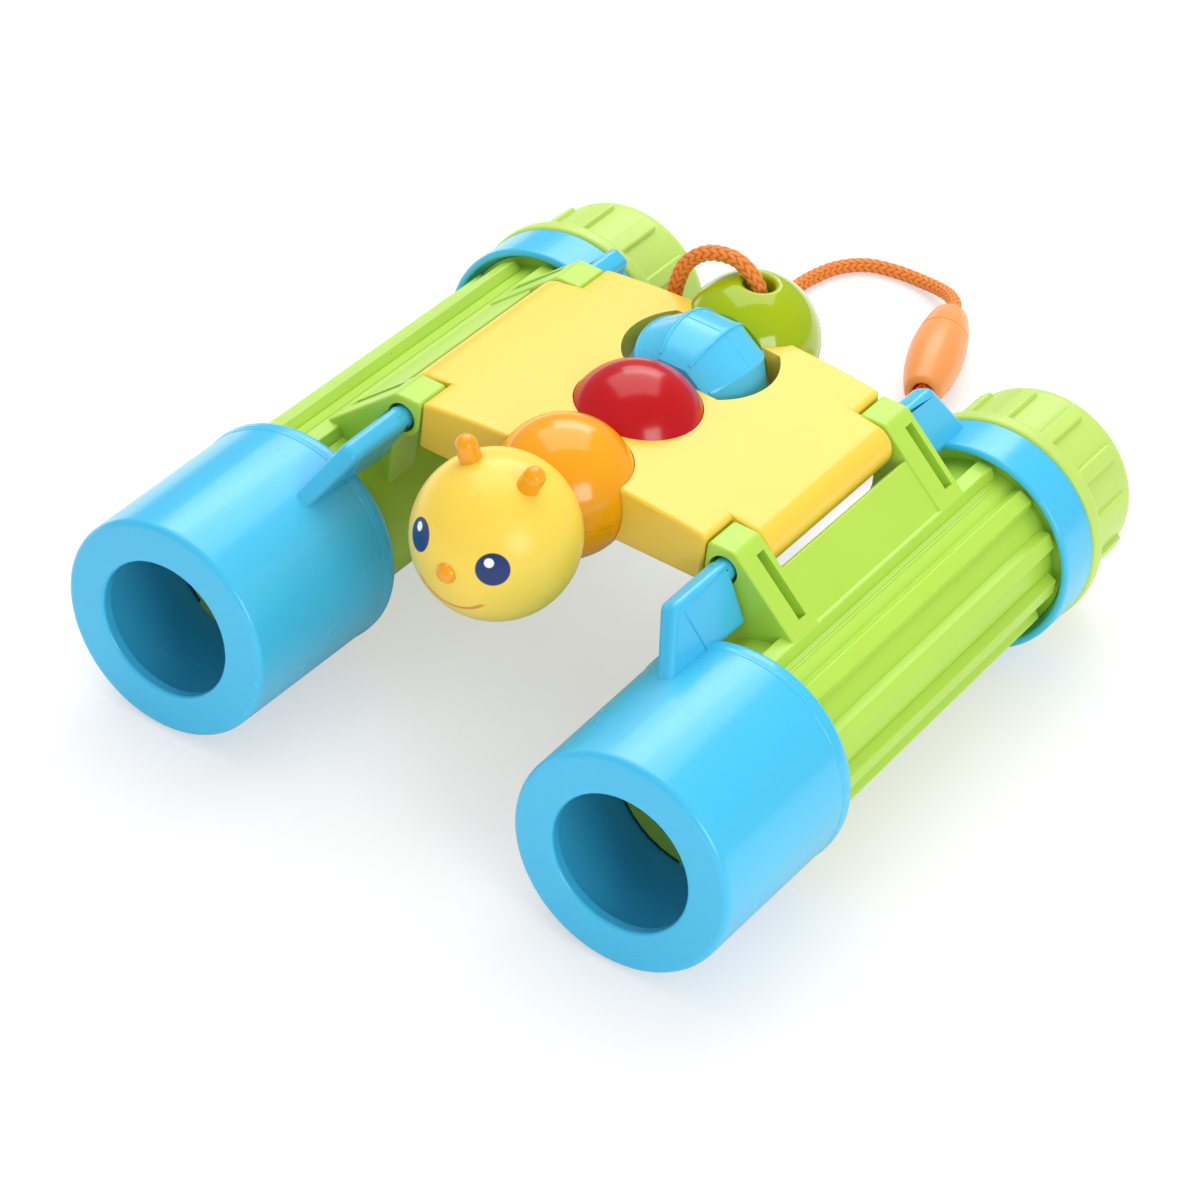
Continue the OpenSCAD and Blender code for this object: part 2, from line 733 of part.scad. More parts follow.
// Focus wheel: flat panels round the rod, each broken at the two shoulders
module focus_wheel() {
    half = (wheel_back_y - wheel_front_y - pass_gap) / 2;
    shoulder = half * wheel_shoulder_share;
    color(blue) translate([0, (wheel_front_y + wheel_back_y) / 2, spine_z]) difference() {
        rotate([-90, 0, 0]) rotate_extrude($fn = wheel_panels) polygon([
            [0, -half], [wheel_r * wheel_side_r_share, -half],
            [wheel_r * wheel_shoulder_r_share, -shoulder], [wheel_r, 0],
            [wheel_r * wheel_shoulder_r_share, shoulder],
            [wheel_r * wheel_side_r_share, half], [0, half],
        ]);
        rod_y(rod_r + run_gap, -half - overrun, 2 * (half + overrun));
    }
}

module head() {
    color(yellow) difference() {
        slab(head_y - 2 * head_r, neck_y) ball(head_r, head_y, head_z);
        spine_bore();
        antenna_places() cylinder(r = antenna_r + run_gap, h = 2 * head_r);
        nose_place() sphere(nose_r + run_gap);
    }
}

module antenna_places() {
    for (side = [-1, 1])
        translate([0, head_y, head_z]) rotate([antenna_pitch, side * antenna_lean, 0])
            translate([0, 0, head_r - antenna_len]) children();
}

module nose_place() {
    translate([0, head_y - head_r + nose_r / 3, head_z]) children();
}

module antennae() {
    stem = 2 * antenna_len - antenna_r;
    color(orange) antenna_places() {
        cylinder(r = antenna_r, h = stem);
        translate([0, 0, stem]) sphere(antenna_r);
    }
}

module nose() { color(orange) nose_place() sphere(nose_r); }

// A tube swept along a route: each ring's side direction is carried on from the ring before
function route_dir(route, i) = unit(route[min(i + 1, len(route) - 1)] - route[max(i - 1, 0)]);
function ring_frames(route, side, i) = i == len(route) ? [] :
    let (dir = route_dir(route, i), across = unit(side - (side * dir) * dir))
    concat([[across, cross(dir, across)]], ring_frames(route, across, i + 1));

module swept_tube(route, r, sides, first_side) {
    frames = ring_frames(route, first_side, 0);
    points = [for (i = [0 : len(route) - 1], k = [0 : sides - 1])
        let (a = 360 * k / sides) route[i] + r * (cos(a) * frames[i][0] + sin(a) * frames[i][1])];
    last_ring = (len(route) - 1) * sides;
    caps = [
        for (k = [1 : sides - 2]) [0, k, k + 1],
        for (k = [1 : sides - 2]) [last_ring, last_ring + k + 1, last_ring + k],
    ];
    walls = [for (i = [0 : len(route) - 2], k = [0 : sides - 1])
        let (a = i * sides + k, b = i * sides + (k + 1) % sides)
        each [[a, a + sides, b], [b, a + sides, b + sides]]];
    polyhedron(points, concat(caps, walls));
}

// The coil winds in on the lower layer, climbs in the half turn where it turns back, and winds out
function coil_radius(t) = coil_out_r - coil_pitch * min(t, coil_turns - t);
function coil_point(t) =
    let (a = -90 - 360 * t, up = smooth((t - coil_turns / 2) / coil_end_turn + 0.5))
    [
        coil_x + coil_radius(t) * cos(a),
        coil_y + coil_radius(t) * sin(a),
        between(coil_in[2], coil_out[2], up),
    ];
coil_steps = coil_rings * coil_turns;
coil_spiral = [for (i = [0 : coil_steps]) coil_point(i / coil_rings)];
coil_route = concat([coil_in], coil_spiral, [coil_out]);
coil_gaps = [for (i = [0 : coil_steps], j = [i + coil_rings / 2 : 1 : coil_steps])
    norm(coil_spiral[i] - coil_spiral[j]) - cord_d];
echo(coil_least_gap = min(coil_gaps));

module lanyard_coil() {
    color(cord_orange) swept_tube(coil_route, cord_r, coil_sides, [0, 0, 1]);
}

// The tie goes round the turns where they lie straight on each other
module coil_tie() {
    tie_turn = 1 / 4 + (coil_loops % 2) / 2;
    stacks = floor(coil_turns / 2 - tie_turn);
    room = cord_r + tie_gap;
    far = coil_radius(tie_turn) + room;
    near = far - coil_pitch * stacks - 2 * room;
    low = coil_in[2] - room;
    high = coil_out[2] + room;
    color(black) translate([coil_x, coil_y, 0]) rotate([0, 0, -90 - 360 * tie_turn])
        difference() {
            translate([near - tie_t, -tie_w / 2, low - tie_t])
                cube([far - near + 2 * tie_t, tie_w, high - low + 2 * tie_t]);
            translate([near, -tie_w / 2 - overrun, low])
                cube([far - near, tie_w + 2 * overrun, high - low]);
        }
}

// Connector: two barrel-shaped halves, each on a cord's end, held by a tongue in a socket
module at_connector() {
    translate(connector_mid) rotate([0, 0, connector_yaw]) children();
}

function connector_profile_r(y) =
    let (share = 2 * y / connector_len) between(connector_r, connector_end_r, share * share);

module connector_half(from, to) {
    steps = 8;
    turned(concat(
        [[0, from]],
        [for (i = [0 : steps]) let (y = between(from, to, i / steps)) [connector_profile_r(y), y]],
        [[0, to]]
    ));
}

seam_y = connector_seam_share * connector_len;

module connector_socket() {
    color(peach) at_connector() difference() {
        connector_half(-connector_len / 2, seam_y);
        rod_y(connector_mouth_r, -connector_len, connector_len - connector_bore + seat_gap);
        rod_y(connector_tongue_r + run_gap, seam_y - connector_tongue_len - run_gap, connector_len);
    }
}

module connector_plug() {
    color(peach) at_connector() difference() {
        union() {
            connector_half(seam_y, connector_len / 2);
            rod_y(connector_tongue_r, seam_y - connector_tongue_len, connector_tongue_len + overrun);
        }
        rod_y(connector_mouth_r, connector_bore - seat_gap, connector_len);
    }
}

module lanyard_short_cord() {
    color(cord_orange) swept_tube(short_route, cord_r, cord_sides, [1, 0, 0]);
}

module lanyard_long_cord() {
    color(cord_orange) swept_tube(long_route, cord_r, cord_sides, [1, 0, 0]);
}

module lanyard_loop_cord() {
    color(cord_orange) swept_tube(loop_route, cord_r, cord_sides, [0, 0, 1]);
}

bridge_top_cover();
bridge_bottom_cover();
bridge_screws();
front_segment_upper();
front_segment_lower();
middle_segment();
tail_bead();
spine_rod();
focus_wheel();
head();
antennae();
nose();
left_barrel_tube();
right_barrel_tube();
left_front_cup();
right_front_cup();
left_rear_band();
right_rear_band();
left_objective_lens();
right_objective_lens();
left_objective_ring();
right_objective_ring();
left_eyepiece();
right_eyepiece();
left_eyepiece_lens();
right_eyepiece_lens();
left_eyepiece_ring();
right_eyepiece_ring();
lanyard_short_cord();
lanyard_long_cord();
lanyard_coil();
lanyard_loop_cord();
coil_tie();
connector_socket();
connector_plug();
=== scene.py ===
import json
import math

import bmesh
import bpy
from mathutils import Matrix, Vector


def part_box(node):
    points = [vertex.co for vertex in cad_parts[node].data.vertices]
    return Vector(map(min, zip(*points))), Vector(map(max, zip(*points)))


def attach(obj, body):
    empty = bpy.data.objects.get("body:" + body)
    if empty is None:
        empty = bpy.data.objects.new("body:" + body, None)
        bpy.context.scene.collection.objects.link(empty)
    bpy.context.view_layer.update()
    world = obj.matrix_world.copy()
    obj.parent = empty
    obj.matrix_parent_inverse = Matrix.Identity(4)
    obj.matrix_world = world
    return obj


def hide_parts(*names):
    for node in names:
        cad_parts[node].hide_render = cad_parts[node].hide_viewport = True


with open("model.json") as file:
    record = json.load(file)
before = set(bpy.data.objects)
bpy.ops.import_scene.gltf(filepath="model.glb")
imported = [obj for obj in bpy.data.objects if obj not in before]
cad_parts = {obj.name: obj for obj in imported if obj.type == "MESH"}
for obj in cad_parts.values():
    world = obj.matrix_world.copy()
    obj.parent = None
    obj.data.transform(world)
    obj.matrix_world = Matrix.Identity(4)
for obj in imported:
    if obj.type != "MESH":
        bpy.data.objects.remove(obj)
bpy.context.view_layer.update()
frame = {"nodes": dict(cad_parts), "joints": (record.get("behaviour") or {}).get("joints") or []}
scene = bpy.context.scene

# Lengths are in millimetres until a mesh is made
MM = 0.001

# Camera, fitted to the photograph's view
camera = bpy.data.objects.new("camera", bpy.data.cameras.new("camera"))
scene.collection.objects.link(camera)
CAMERA_RIGHT = Vector((0.82992517, 0.5473113, 0.10804883))
CAMERA_UP = Vector((-0.40345132, 0.45506781, 0.79381378))
CAMERA_BACK = Vector((0.38529371, -0.70239848, 0.5984857))
camera_place = Matrix((CAMERA_RIGHT, CAMERA_UP, CAMERA_BACK)).transposed().to_4x4()
camera_place.translation = Vector((0.2753, -0.5085, 0.4405))
camera.matrix_world = camera_place
camera.data.lens = 123.94
camera.data.sensor_width = 36
camera.data.sensor_fit = "HORIZONTAL"
camera.data.clip_start = 0.01
scene.camera = camera
scene.view_settings.view_transform = "Standard"


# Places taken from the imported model
def node_box(name):
    low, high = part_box(name)
    return low / MM, high / MM


def joint_place(name):
    places = [joint["pos_m"] for joint in frame["joints"] if joint["name"] == name]
    return Vector(places[0]) / MM


cup_low, cup_high = node_box("right_front_cup")
tube_low, tube_high = node_box("right_barrel_tube")
band_low = node_box("right_rear_band")[0]
eye_low, eye_high = node_box("right_eyepiece")
plate_low, plate_high = node_box("bridge_top_cover")
wheel_low, wheel_high = node_box("focus_wheel")
head_high = node_box("head")[1]
bead_low = node_box("tail_bead")[0]
tie_low, tie_high = node_box("coil_tie")
HINGE = joint_place("right_hinge")
AXIS = joint_place("right_eyepiece_twist")
SPINE = joint_place("focus_wheel_spin")

FRONT_Y = cup_low.y
TUBE_Y = tube_low.y
BRIDGE_Y = plate_low.y
BRIDGE_END = plate_high.y
BAND_END = tube_high.y
KNOB_END = eye_high.y
REST_R = eye_high.x - AXIS.x

# Sizes of the barrels
CUP_LEN = 37.8
CUP_R = 20.1
CUP_FACE = 2.4
HOLE_R = 12.5
RIM_LEN = 3
RIM_Y = FRONT_Y + CUP_LEN
CREASE_Y = RIM_Y - RIM_LEN
SOCKET_R = 18
CAVITY_R = 16.5
TUBE_R = 16.1
BORE_R = 14
LENS_SEAT_R = 14.7
LENS_SEAT_LEN = 3.3
RIB_R = 17.9
RIB_W = 2.8
RIB_FLANK = 0.8
RIB_COUNT = 7
RIB_FIRST = 1.5
RIB_LAST = 178.5
BAND_LEN = 9.6
BAND_Y = BAND_END - BAND_LEN
BAND_R = 20.3
RIB_END = BAND_Y + 0.9
SEAT_Y = BAND_Y + 2.7
FLANGE_LEN = 3.8
KNOB_Y = BAND_END + FLANGE_LEN
KNOB_LEN = KNOB_END - KNOB_Y
KNOB_R = 17.6
KNOB_BORE_R = 12
KNOB_FACE = 8
EYE_HOLE_R = 9
SPIGOT_R = 13.95
TWIST_GAP = 0.1
GRIP_COUNT = 12
GRIP_W = 2.8
GRIP_H = 0.9

# Hinges, seen from a barrel's axis
HINGE_IN = AXIS.x - HINGE.x
HINGE_RISE = HINGE.z - AXIS.z
HINGE_D = math.hypot(HINGE_IN, HINGE_RISE)
HINGE_ANGLE = math.atan2(HINGE_IN, HINGE_RISE)
PIN_R = 2.3
PIN_SHOWN_R = 2.05
ARM_W = 7.9
WING_T = 4.2
EDGE_R = 4.2

# Sizes of the bridge and of the crawler's balls
CROWN_R = 225
NOTCH_X = 28.2
NOTCH_LEN = 8.2
SEGMENT_R = 12.35
HEAD_R = 14.2
BALL_SEAT = 0.1
WELL_GAP = 1
ROD_R = 1.55
ROD_END = 29.2
HEAD_Y = -44.1
HEAD = Vector((0, HEAD_Y, head_high.z - HEAD_R))
FRONT_BALL_Y = -24.1
MIDDLE_BALL_Y = -2.62
WHEEL_Y = SPINE.y
WHEEL_R = (wheel_high.x - wheel_low.x) / 2
WHEEL_HALF = (wheel_high.y - wheel_low.y) / 2
TAIL_Y = 35
NECK_Y = head_high.y
FRONT_JOINT_Y = -13.36

# Mesh tools
MERGED = 0.0005
TURN_STEPS = 96
FINE_STEPS = 128
ROD_STEPS = 40
DOME_STEPS = 8
CREASE = 32
FINE_CREASE = 24
NEAR = 0.01
CUT_PAST = 1
CUT_REACH = 30
CUT_LOW = 20
CUT_HIGH = 80
TAU = 2 * math.pi
QUARTER = math.pi / 2


def spaced(first, last, steps):
    """Values in equal steps from first to last, with both ends."""
    return [first + (last - first) * k / steps for k in range(steps + 1)]


def ball_arc(r, first, last, steps):
    """A ball's profile as (radius, y) points, by angles from its front."""
    return [(r * math.sin(a), -r * math.cos(a)) for a in spaced(first, last, steps)]


def outline(corners, steps=5):
    """A closed outline: each corner is (x, y) or (x, y, rounding)."""
    points = []
    for i, corner in enumerate(corners):
        here = Vector(corner[:2])
        rounding = corner[2] if len(corner) > 2 else 0
        if not rounding:
            points.append(here)
            continue
        to_last = (Vector(corners[i - 1][:2]) - here).normalized()
        to_next = (Vector(corners[(i + 1) % len(corners)][:2]) - here).normalized()
        half = to_last.angle(to_next) / 2
        reach = rounding / math.tan(half)
        centre = here + (to_last + to_next).normalized() * rounding / math.sin(half)
        start = here + to_last * reach - centre
        stop = here + to_next * reach - centre
        first = math.atan2(start.y, start.x)
        turn = math.remainder(math.atan2(stop.y, stop.x) - first, TAU)
        for a in spaced(first, first + turn, steps):
            points.append(centre + rounding * Vector((math.cos(a), math.sin(a))))
    return points


def area(points):
    following = points[1:] + points[:1]
    return sum(a.x * b.y - b.x * a.y for a, b in zip(points, following)) / 2


def inset(points, distance):
    """A closed outline moved inwards."""
    side = 1 if area(points) > 0 else -1
    pulled = []
    for i, here in enumerate(points):
        before = (here - points[i - 1]).normalized()
        after = (points[(i + 1) % len(points)] - here).normalized()
        a = Vector((-before.y, before.x))
        b = Vector((-after.y, after.x))
        pulled.append(here + (a + b) * side * distance / (1 + max(a.dot(b), -0.5)))
    return pulled


def rectangle(low_x, low_z, high_x, high_z, rounding):
    corners = ((low_x, low_z), (high_x, low_z), (high_x, high_z), (low_x, high_z))
    return outline([(*corner, rounding) for corner in corners])


def bar_outline(width, low, high, rounding, steps, spread=0.0):
    """The outline of a bar that stands on a round body; spread widens its foot."""
    half = width / 2
    foot = half + spread
    return outline([(-foot, low), (foot, low), (half, high, rounding), (-half, high, rounding)], steps)


def joined_rings(rings, closed):
    """A body whose skin runs from ring to ring; a ring of one point is a pole."""
    bm = bmesh.new()
    made = [[bm.verts.new(point) for point in ring] for ring in rings]
    pairs = list(zip(made, made[1:])) + ([(made[-1], made[0])] if closed else [])
    for ring, following in pairs:
        count = max(len(ring), len(following))
        if count == 1:
            continue
        for k in range(count):
            corners = [ring[k % len(ring)], following[k % len(following)]]
            corners += [following[(k + 1) % len(following)], ring[(k + 1) % len(ring)]]
            bm.faces.new(dict.fromkeys(corners))
    if not closed:
        for ring in (made[0], made[-1]):
            if len(ring) > 2:
                bm.faces.new(ring)
    return tidy(bm)


def tidy(bm):
    """Merges doubles, drops flat faces and turns all faces outwards."""
    bmesh.ops.remove_doubles(bm, verts=bm.verts[:], dist=MERGED)
    bmesh.ops.dissolve_degenerate(bm, edges=bm.edges[:], dist=MERGED)
    bmesh.ops.recalc_face_normals(bm, faces=bm.faces[:])
    return bm


def turned(profile, steps=TURN_STEPS, closed=True):
    """A body turned about the Y axis from (radius, y) points."""
    angles = spaced(0, TAU, steps)[:-1]
    rings = []
    for radius, y in profile:
        if radius < MM:
            rings.append([(0, y, 0)])
        else:
            rings.append([(radius * math.sin(a), y, radius * math.cos(a)) for a in angles])
    return joined_rings(rings, closed)


def edge_layers(edge, steps):
    """A rounded end edge as (depth, pull) layers, from the end inwards."""
    return [(edge * (1 - math.cos(a)), edge * (1 - math.sin(a))) for a in spaced(0, QUARTER, steps)]


def extruded(points, start, end, edge=0, steps=5):
    """An outline of (x, z) points drawn along Y, with its end edges rounded."""
    layers = edge_layers(edge, steps) if edge else [(0, 0)]
    stations = [(start + depth, pull) for depth, pull in layers]
    stations += [(end - depth, pull) for depth, pull in reversed(layers)]
    rings = []
    for y, pull in stations:
        ring = inset(points, pull) if pull > MM else points
        rings.append([(p.x, y, p.y) for p in ring])
    return joined_rings(rings, False)


def rod(r, start, end, steps=ROD_STEPS):
    """A plain rod along Y."""
    return turned([(0, start), (r, start), (r, end), (0, end)], steps, False)


def sphere_cutter(r, y, z):
    return moved(turned(ball_arc(r, 0, math.pi, 48), TURN_STEPS, False), y=y, z=z)


def box_body(low, high, edge=0.0):
    return extruded(rectangle(low[0], low[2], high[0], high[2], edge), low[1], high[1], edge)


def moved(bm, x=0, y=0, z=0):
    bmesh.ops.translate(bm, verts=bm.verts[:], vec=(x, y, z))
    return bm


def rotated(bm, angle, axis):
    bmesh.ops.rotate(bm, verts=bm.verts[:], cent=(0, 0, 0), matrix=Matrix.Rotation(angle, 3, axis))
    return bm


def towards_hinge(bm):
    """Turns a body so that its Z axis points from the barrel's axis to the hinge."""
    return rotated(bm, -HINGE_ANGLE, "Y")


def mirrored(bm):
    copy = bm.copy()
    bmesh.ops.scale(copy, verts=copy.verts[:], vec=(-1, 1, 1))
    bmesh.ops.reverse_faces(copy, faces=copy.faces[:])
    return copy


def joined(*bodies):
    """Several bodies that don't touch, as one mesh."""
    first = bodies[0]
    for body in bodies[1:]:
        mesh = bpy.data.meshes.new("joined")
        body.to_mesh(mesh)
        body.free()
        first.from_mesh(mesh)
        bpy.data.meshes.remove(mesh)
    return first


def plain_object(name, bm):
    mesh = bpy.data.meshes.new(name)
    bm.to_mesh(mesh)
    bm.free()
    obj = bpy.data.objects.new(name, mesh)
    scene.collection.objects.link(obj)
    return obj


def finished_mesh(obj):
    """The mesh that an object's modifiers give; the modifiers are cleared."""
    bpy.context.view_layer.update()
    depsgraph = bpy.context.evaluated_depsgraph_get()
    mesh = bpy.data.meshes.new_from_object(obj.evaluated_get(depsgraph))
    obj.modifiers.clear()
    return mesh


def taken_back(obj):
    """The body of an object with its modifiers; the object is removed."""
    mesh = finished_mesh(obj)
    bm = bmesh.new()
    bm.from_mesh(mesh)
    bpy.data.objects.remove(obj)
    bpy.data.meshes.remove(mesh)
    return bm


def combined(operation, base, *others):
    """One closed body made of several closed bodies."""
    obj = plain_object("base", base)
    tools = [plain_object("tool", other) for other in others]
    for tool in tools:
        modifier = obj.modifiers.new("combine", "BOOLEAN")
        modifier.operation = operation
        modifier.solver = "MANIFOLD"
        modifier.object = tool
    bm = taken_back(obj)
    for tool in tools:
        bpy.data.objects.remove(tool)
    return bm


def union(base, *others):
    return combined("UNION", base, *others)


def cut(base, *others):
    return combined("DIFFERENCE", base, *others)


def halved(bm, z, above):
    """The part of a closed body above or below a level plane, with the cut closed."""
    geometry = bm.verts[:] + bm.edges[:] + bm.faces[:]
    result = bmesh.ops.bisect_plane(
        bm, geom=geometry, plane_co=(0, 0, z), plane_no=(0, 0, -1 if above else 1), clear_outer=True
    )
    edges = [item for item in result["geom_cut"] if isinstance(item, bmesh.types.BMEdge)]
    bmesh.ops.holes_fill(bm, edges=edges)
    return tidy(bm)


# Node trees are written as expressions on wires
def math_method(operation, swapped=False):
    """A method that adds a Math node for an operator; swapped where the wire stands on the right."""

    def added(wire, other):
        values = (other, wire) if swapped else (wire, other)
        return wire.net.math(operation, *values)

    return added


class Wire:
    """An output socket; arithmetic on it adds Math nodes to its tree."""

    __add__ = math_method("ADD")
    __radd__ = math_method("ADD", True)
    __sub__ = math_method("SUBTRACT")
    __mul__ = math_method("MULTIPLY")
    __rmul__ = math_method("MULTIPLY", True)
    __truediv__ = math_method("DIVIDE")
    __gt__ = math_method("GREATER_THAN")
    __lt__ = math_method("LESS_THAN")

    def __init__(self, net, socket):
        self.net = net
        self.socket = socket

    def out(self, name):
        return Wire(self.net, self.socket.node.outputs[name])


class Net:
    """A node tree, to which nodes are added with their settings and sockets."""

    def __init__(self, tree):
        self.tree = tree

    def add(self, kind, settings=None, sockets=None, out=0):
        node = self.tree.nodes.new(kind)
        for name, value in (settings or {}).items():
            setattr(node, name, value)
        for key, value in (sockets or {}).items():
            self.feed(node.inputs[key], value)
        return Wire(self, node.outputs[out]) if len(node.outputs) else node

    def feed(self, socket, value):
        if isinstance(value, Wire):
            self.tree.links.new(value.socket, socket)
        else:
            socket.default_value = value

    def math(self, operation, *values):
        return self.add("ShaderNodeMath", {"operation": operation}, dict(enumerate(values)))

    def vector(self, operation, *values, out=0):
        return self.add("ShaderNodeVectorMath", {"operation": operation}, dict(enumerate(values)), out)

    def ease(self, value, low, high):
        """Goes smoothly from 0 at low to 1 at high."""
        return self.add(
            "ShaderNodeMapRange",
            {"interpolation_type": "SMOOTHSTEP"},
            {"Value": value, "From Min": low, "From Max": high},
        )

    def blend(self, share, first, second):
        return self.add("ShaderNodeMix", {"data_type": "RGBA"}, {0: share, 6: first, 7: second}, out=2)

    def noise(self, place, scale, detail, roughness=0.5):
        return self.add(
            "ShaderNodeTexNoise", None,
            {"Vector": place, "Scale": scale, "Detail": detail, "Roughness": roughness},
        )

    def bump(self, height, strength, distance):
        return self.add(
            "ShaderNodeBump", None, {"Height": height, "Strength": strength, "Distance": distance * MM}
        )

    def object_place(self):
        return self.add("ShaderNodeTexCoord", out="Object")


# Colours are written as seen on a screen
def colour(text):
    def linear(part):
        return part / 12.92 if part <= 0.04045 else ((part + 0.055) / 1.055) ** 2.4

    parts = [int(text[i : i + 2], 16) / 255 for i in (0, 2, 4)]
    return (*(linear(part) for part in parts), 1)


def new_material(name):
    material = bpy.data.materials.new(name)
    material.use_nodes = True
    material.node_tree.nodes.clear()
    return material, Net(material.node_tree)


def shaded(net, sockets):
    surface = net.add("ShaderNodeBsdfPrincipled", None, sockets)
    net.add("ShaderNodeOutputMaterial", None, {"Surface": surface})


# Marks of moulding and handling that all the plastic pieces share
PLASTIC_IOR = 1.48
CLOUD_SCALE = 45
CLOUD_SHARE = 0.1
GRAIN_SCALE = 1900
SCUFF_SCALE = 160
SCUFF_SPREAD = 0.1
SCUFF_DEPTH = 0.15
SPECK_SCALE = 210
SPECK_R = 0.035
SPECK_SHARE = 0.1
SPECK_COVER = 0.55
SPECK_COLOUR = (0.05, 0.045, 0.04, 1)


def plastic_finish(net, place, base, roughness):
    """Sockets of moulded plastic: clouded colour, scuffed gloss, fine grain and a few specks of dust."""
    cloud = net.noise(place, CLOUD_SCALE, 3)
    grain = net.noise(place, GRAIN_SCALE, 2)
    scuff = net.noise(place, SCUFF_SCALE, 6, 0.7)
    cells = net.add("ShaderNodeTexVoronoi", None, {"Vector": place, "Scale": SPECK_SCALE})
    chosen = net.add("ShaderNodeSeparateColor", None, {"Color": cells.out("Color")})
    speck = (cells < SPECK_R) * (chosen > 1 - SPECK_SHARE)
    shade = net.blend(CLOUD_SHARE * cloud, base, (0, 0, 0, 1))
    marked = net.blend(SPECK_COVER * speck, shade, SPECK_COLOUR)
    return {
        "Base Color": marked,
        "Roughness": roughness - SCUFF_SPREAD / 2 + SCUFF_SPREAD * scuff,
        "Normal": net.bump(grain + SCUFF_DEPTH * scuff, 0.05, 0.03),
    }


def plastic(name, base, roughness, coat=0.0, glow=0.0, reach=1.5):
    """Moulded plastic; glow is the share of light that goes through its skin, to a depth of reach."""
    material, net = new_material(name)
    sockets = plastic_finish(net, net.object_place(), base, roughness)
    sockets["IOR"] = PLASTIC_IOR
    sockets["Coat Weight"] = coat
    sockets["Coat Roughness"] = 0.06
    if glow:
        sockets["Subsurface Weight"] = glow
        sockets["Subsurface Radius"] = tuple(max(part, 0.05) for part in base[:3])
        sockets["Subsurface Scale"] = reach * MM
    shaded(net, sockets)
    return material


# The printed face, in degrees on the head; the smile's ends are heights on a ball of radius 1
EYE_SIDE = 31
EYE_RISE = 12
EYE_SIZE = 11.5
SHINE_SHIFT = -3
SHINE_RISE = 16.5
SHINE_SIZE = 3.2
SMILE_RISE = 6
SMILE_OUT = 37.2
SMILE_IN = 34.4
SMILE_SOFT = 0.7
SMILE_ENDS = (-0.28, -0.34)


def head_plastic(name, base):
    """The head's plastic, printed with two round eyes and a smile."""
    material, net = new_material(name)
    place = net.object_place()
    facing = net.vector("NORMALIZE", net.vector("SUBTRACT", place, tuple(HEAD * MM)))

    def cap(side, rise, size, soft=0.5):
        """A round patch on the ball, by its direction from the head's centre and its size, in degrees."""
        side, rise = math.radians(side), math.radians(rise)
        middle = (math.sin(side) * math.cos(rise), -math.cos(side) * math.cos(rise), math.sin(rise))
        near = net.vector("DOT_PRODUCT", facing, middle, out="Value")
        return net.ease(near, math.cos(math.radians(size + soft)), math.cos(math.radians(size - soft)))

    def at_eyes(shift, rise, size):
        return cap(shift - EYE_SIDE, rise, size) + cap(shift + EYE_SIDE, rise, size)

    eyes = at_eyes(0, EYE_RISE, EYE_SIZE)
    shine = at_eyes(SHINE_SHIFT, SHINE_RISE, SHINE_SIZE)
    ring = cap(0, SMILE_RISE, SMILE_OUT, SMILE_SOFT) - cap(0, SMILE_RISE, SMILE_IN, SMILE_SOFT)
    height = net.add("ShaderNodeSeparateXYZ", None, {"Vector": facing}, out="Z")
    smile = ring * net.ease(height, *SMILE_ENDS)
    skin = net.blend(smile, base, colour("E08A18"))
    sockets = plastic_finish(net, place, skin, 0.3)
    with_eyes = net.blend(eyes, sockets["Base Color"], colour("12306E"))
    sockets["Base Color"] = net.blend(shine, with_eyes, colour("F4F8FF"))
    sockets["IOR"] = PLASTIC_IOR
    sockets["Subsurface Weight"] = 0.1
    sockets["Subsurface Radius"] = (1, 0.7, 0.1)
    sockets["Subsurface Scale"] = 1.5 * MM
    shaded(net, sockets)
    return material


def braid_material(name, lit, deep):
    """Cord: painted shade makes its colour darker down between the stitches and lighter on their tops, with
    fine fibres along it.
    """
    material, net = new_material(name)
    place = net.object_place()
    relief = net.add("ShaderNodeAttribute", {"attribute_name": "relief"}, out="Fac")
    fibre = net.noise(place, 3600, 3, 0.7)
    patch = net.noise(place, 220, 2)
    # painted shade: the stitches' relief darkens the colour in the grooves between them and lightens their
    # tops, mixed with fibre noise
    share = net.ease(relief, 0.05, 0.85) * 0.8 + 0.3 * fibre - 0.12
    yarn_with_painted_shade = net.blend(share, deep, lit)
    tone = net.blend(0.25 * patch, yarn_with_painted_shade, deep)
    shaded(net, {
        "Base Color": tone,
        "Roughness": 0.5 + 0.2 * fibre,
        "Sheen Weight": 0.12,
        "Sheen Roughness": 0.4,
        "Normal": net.bump(fibre, 0.5, 0.12),
    })
    return material


def glass_material(name):
    material, net = new_material(name)
    smear = net.noise(net.object_place(), 120, 4)
    shaded(net, {
        "Base Color": net.blend(smear, (0.96, 0.98, 1, 1), (0.9, 0.95, 0.97, 1)),
        "Roughness": 0.02 + 0.05 * smear,
        "Transmission Weight": 1.0,
        "IOR": 1.45,
    })
    return material


def steel_material(name):
    material, net = new_material(name)
    place = net.object_place()
    turned_marks = net.noise(net.vector("MULTIPLY", place, (1, 1, 14)), 900, 3)
    shaded(net, {
        "Base Color": net.blend(turned_marks, (0.5, 0.5, 0.52, 1), (0.72, 0.72, 0.73, 1)),
        "Metallic": 1.0,
        "Roughness": 0.22 + 0.2 * turned_marks,
        "Normal": net.bump(turned_marks, 0.2, 0.03),
    })
    return material


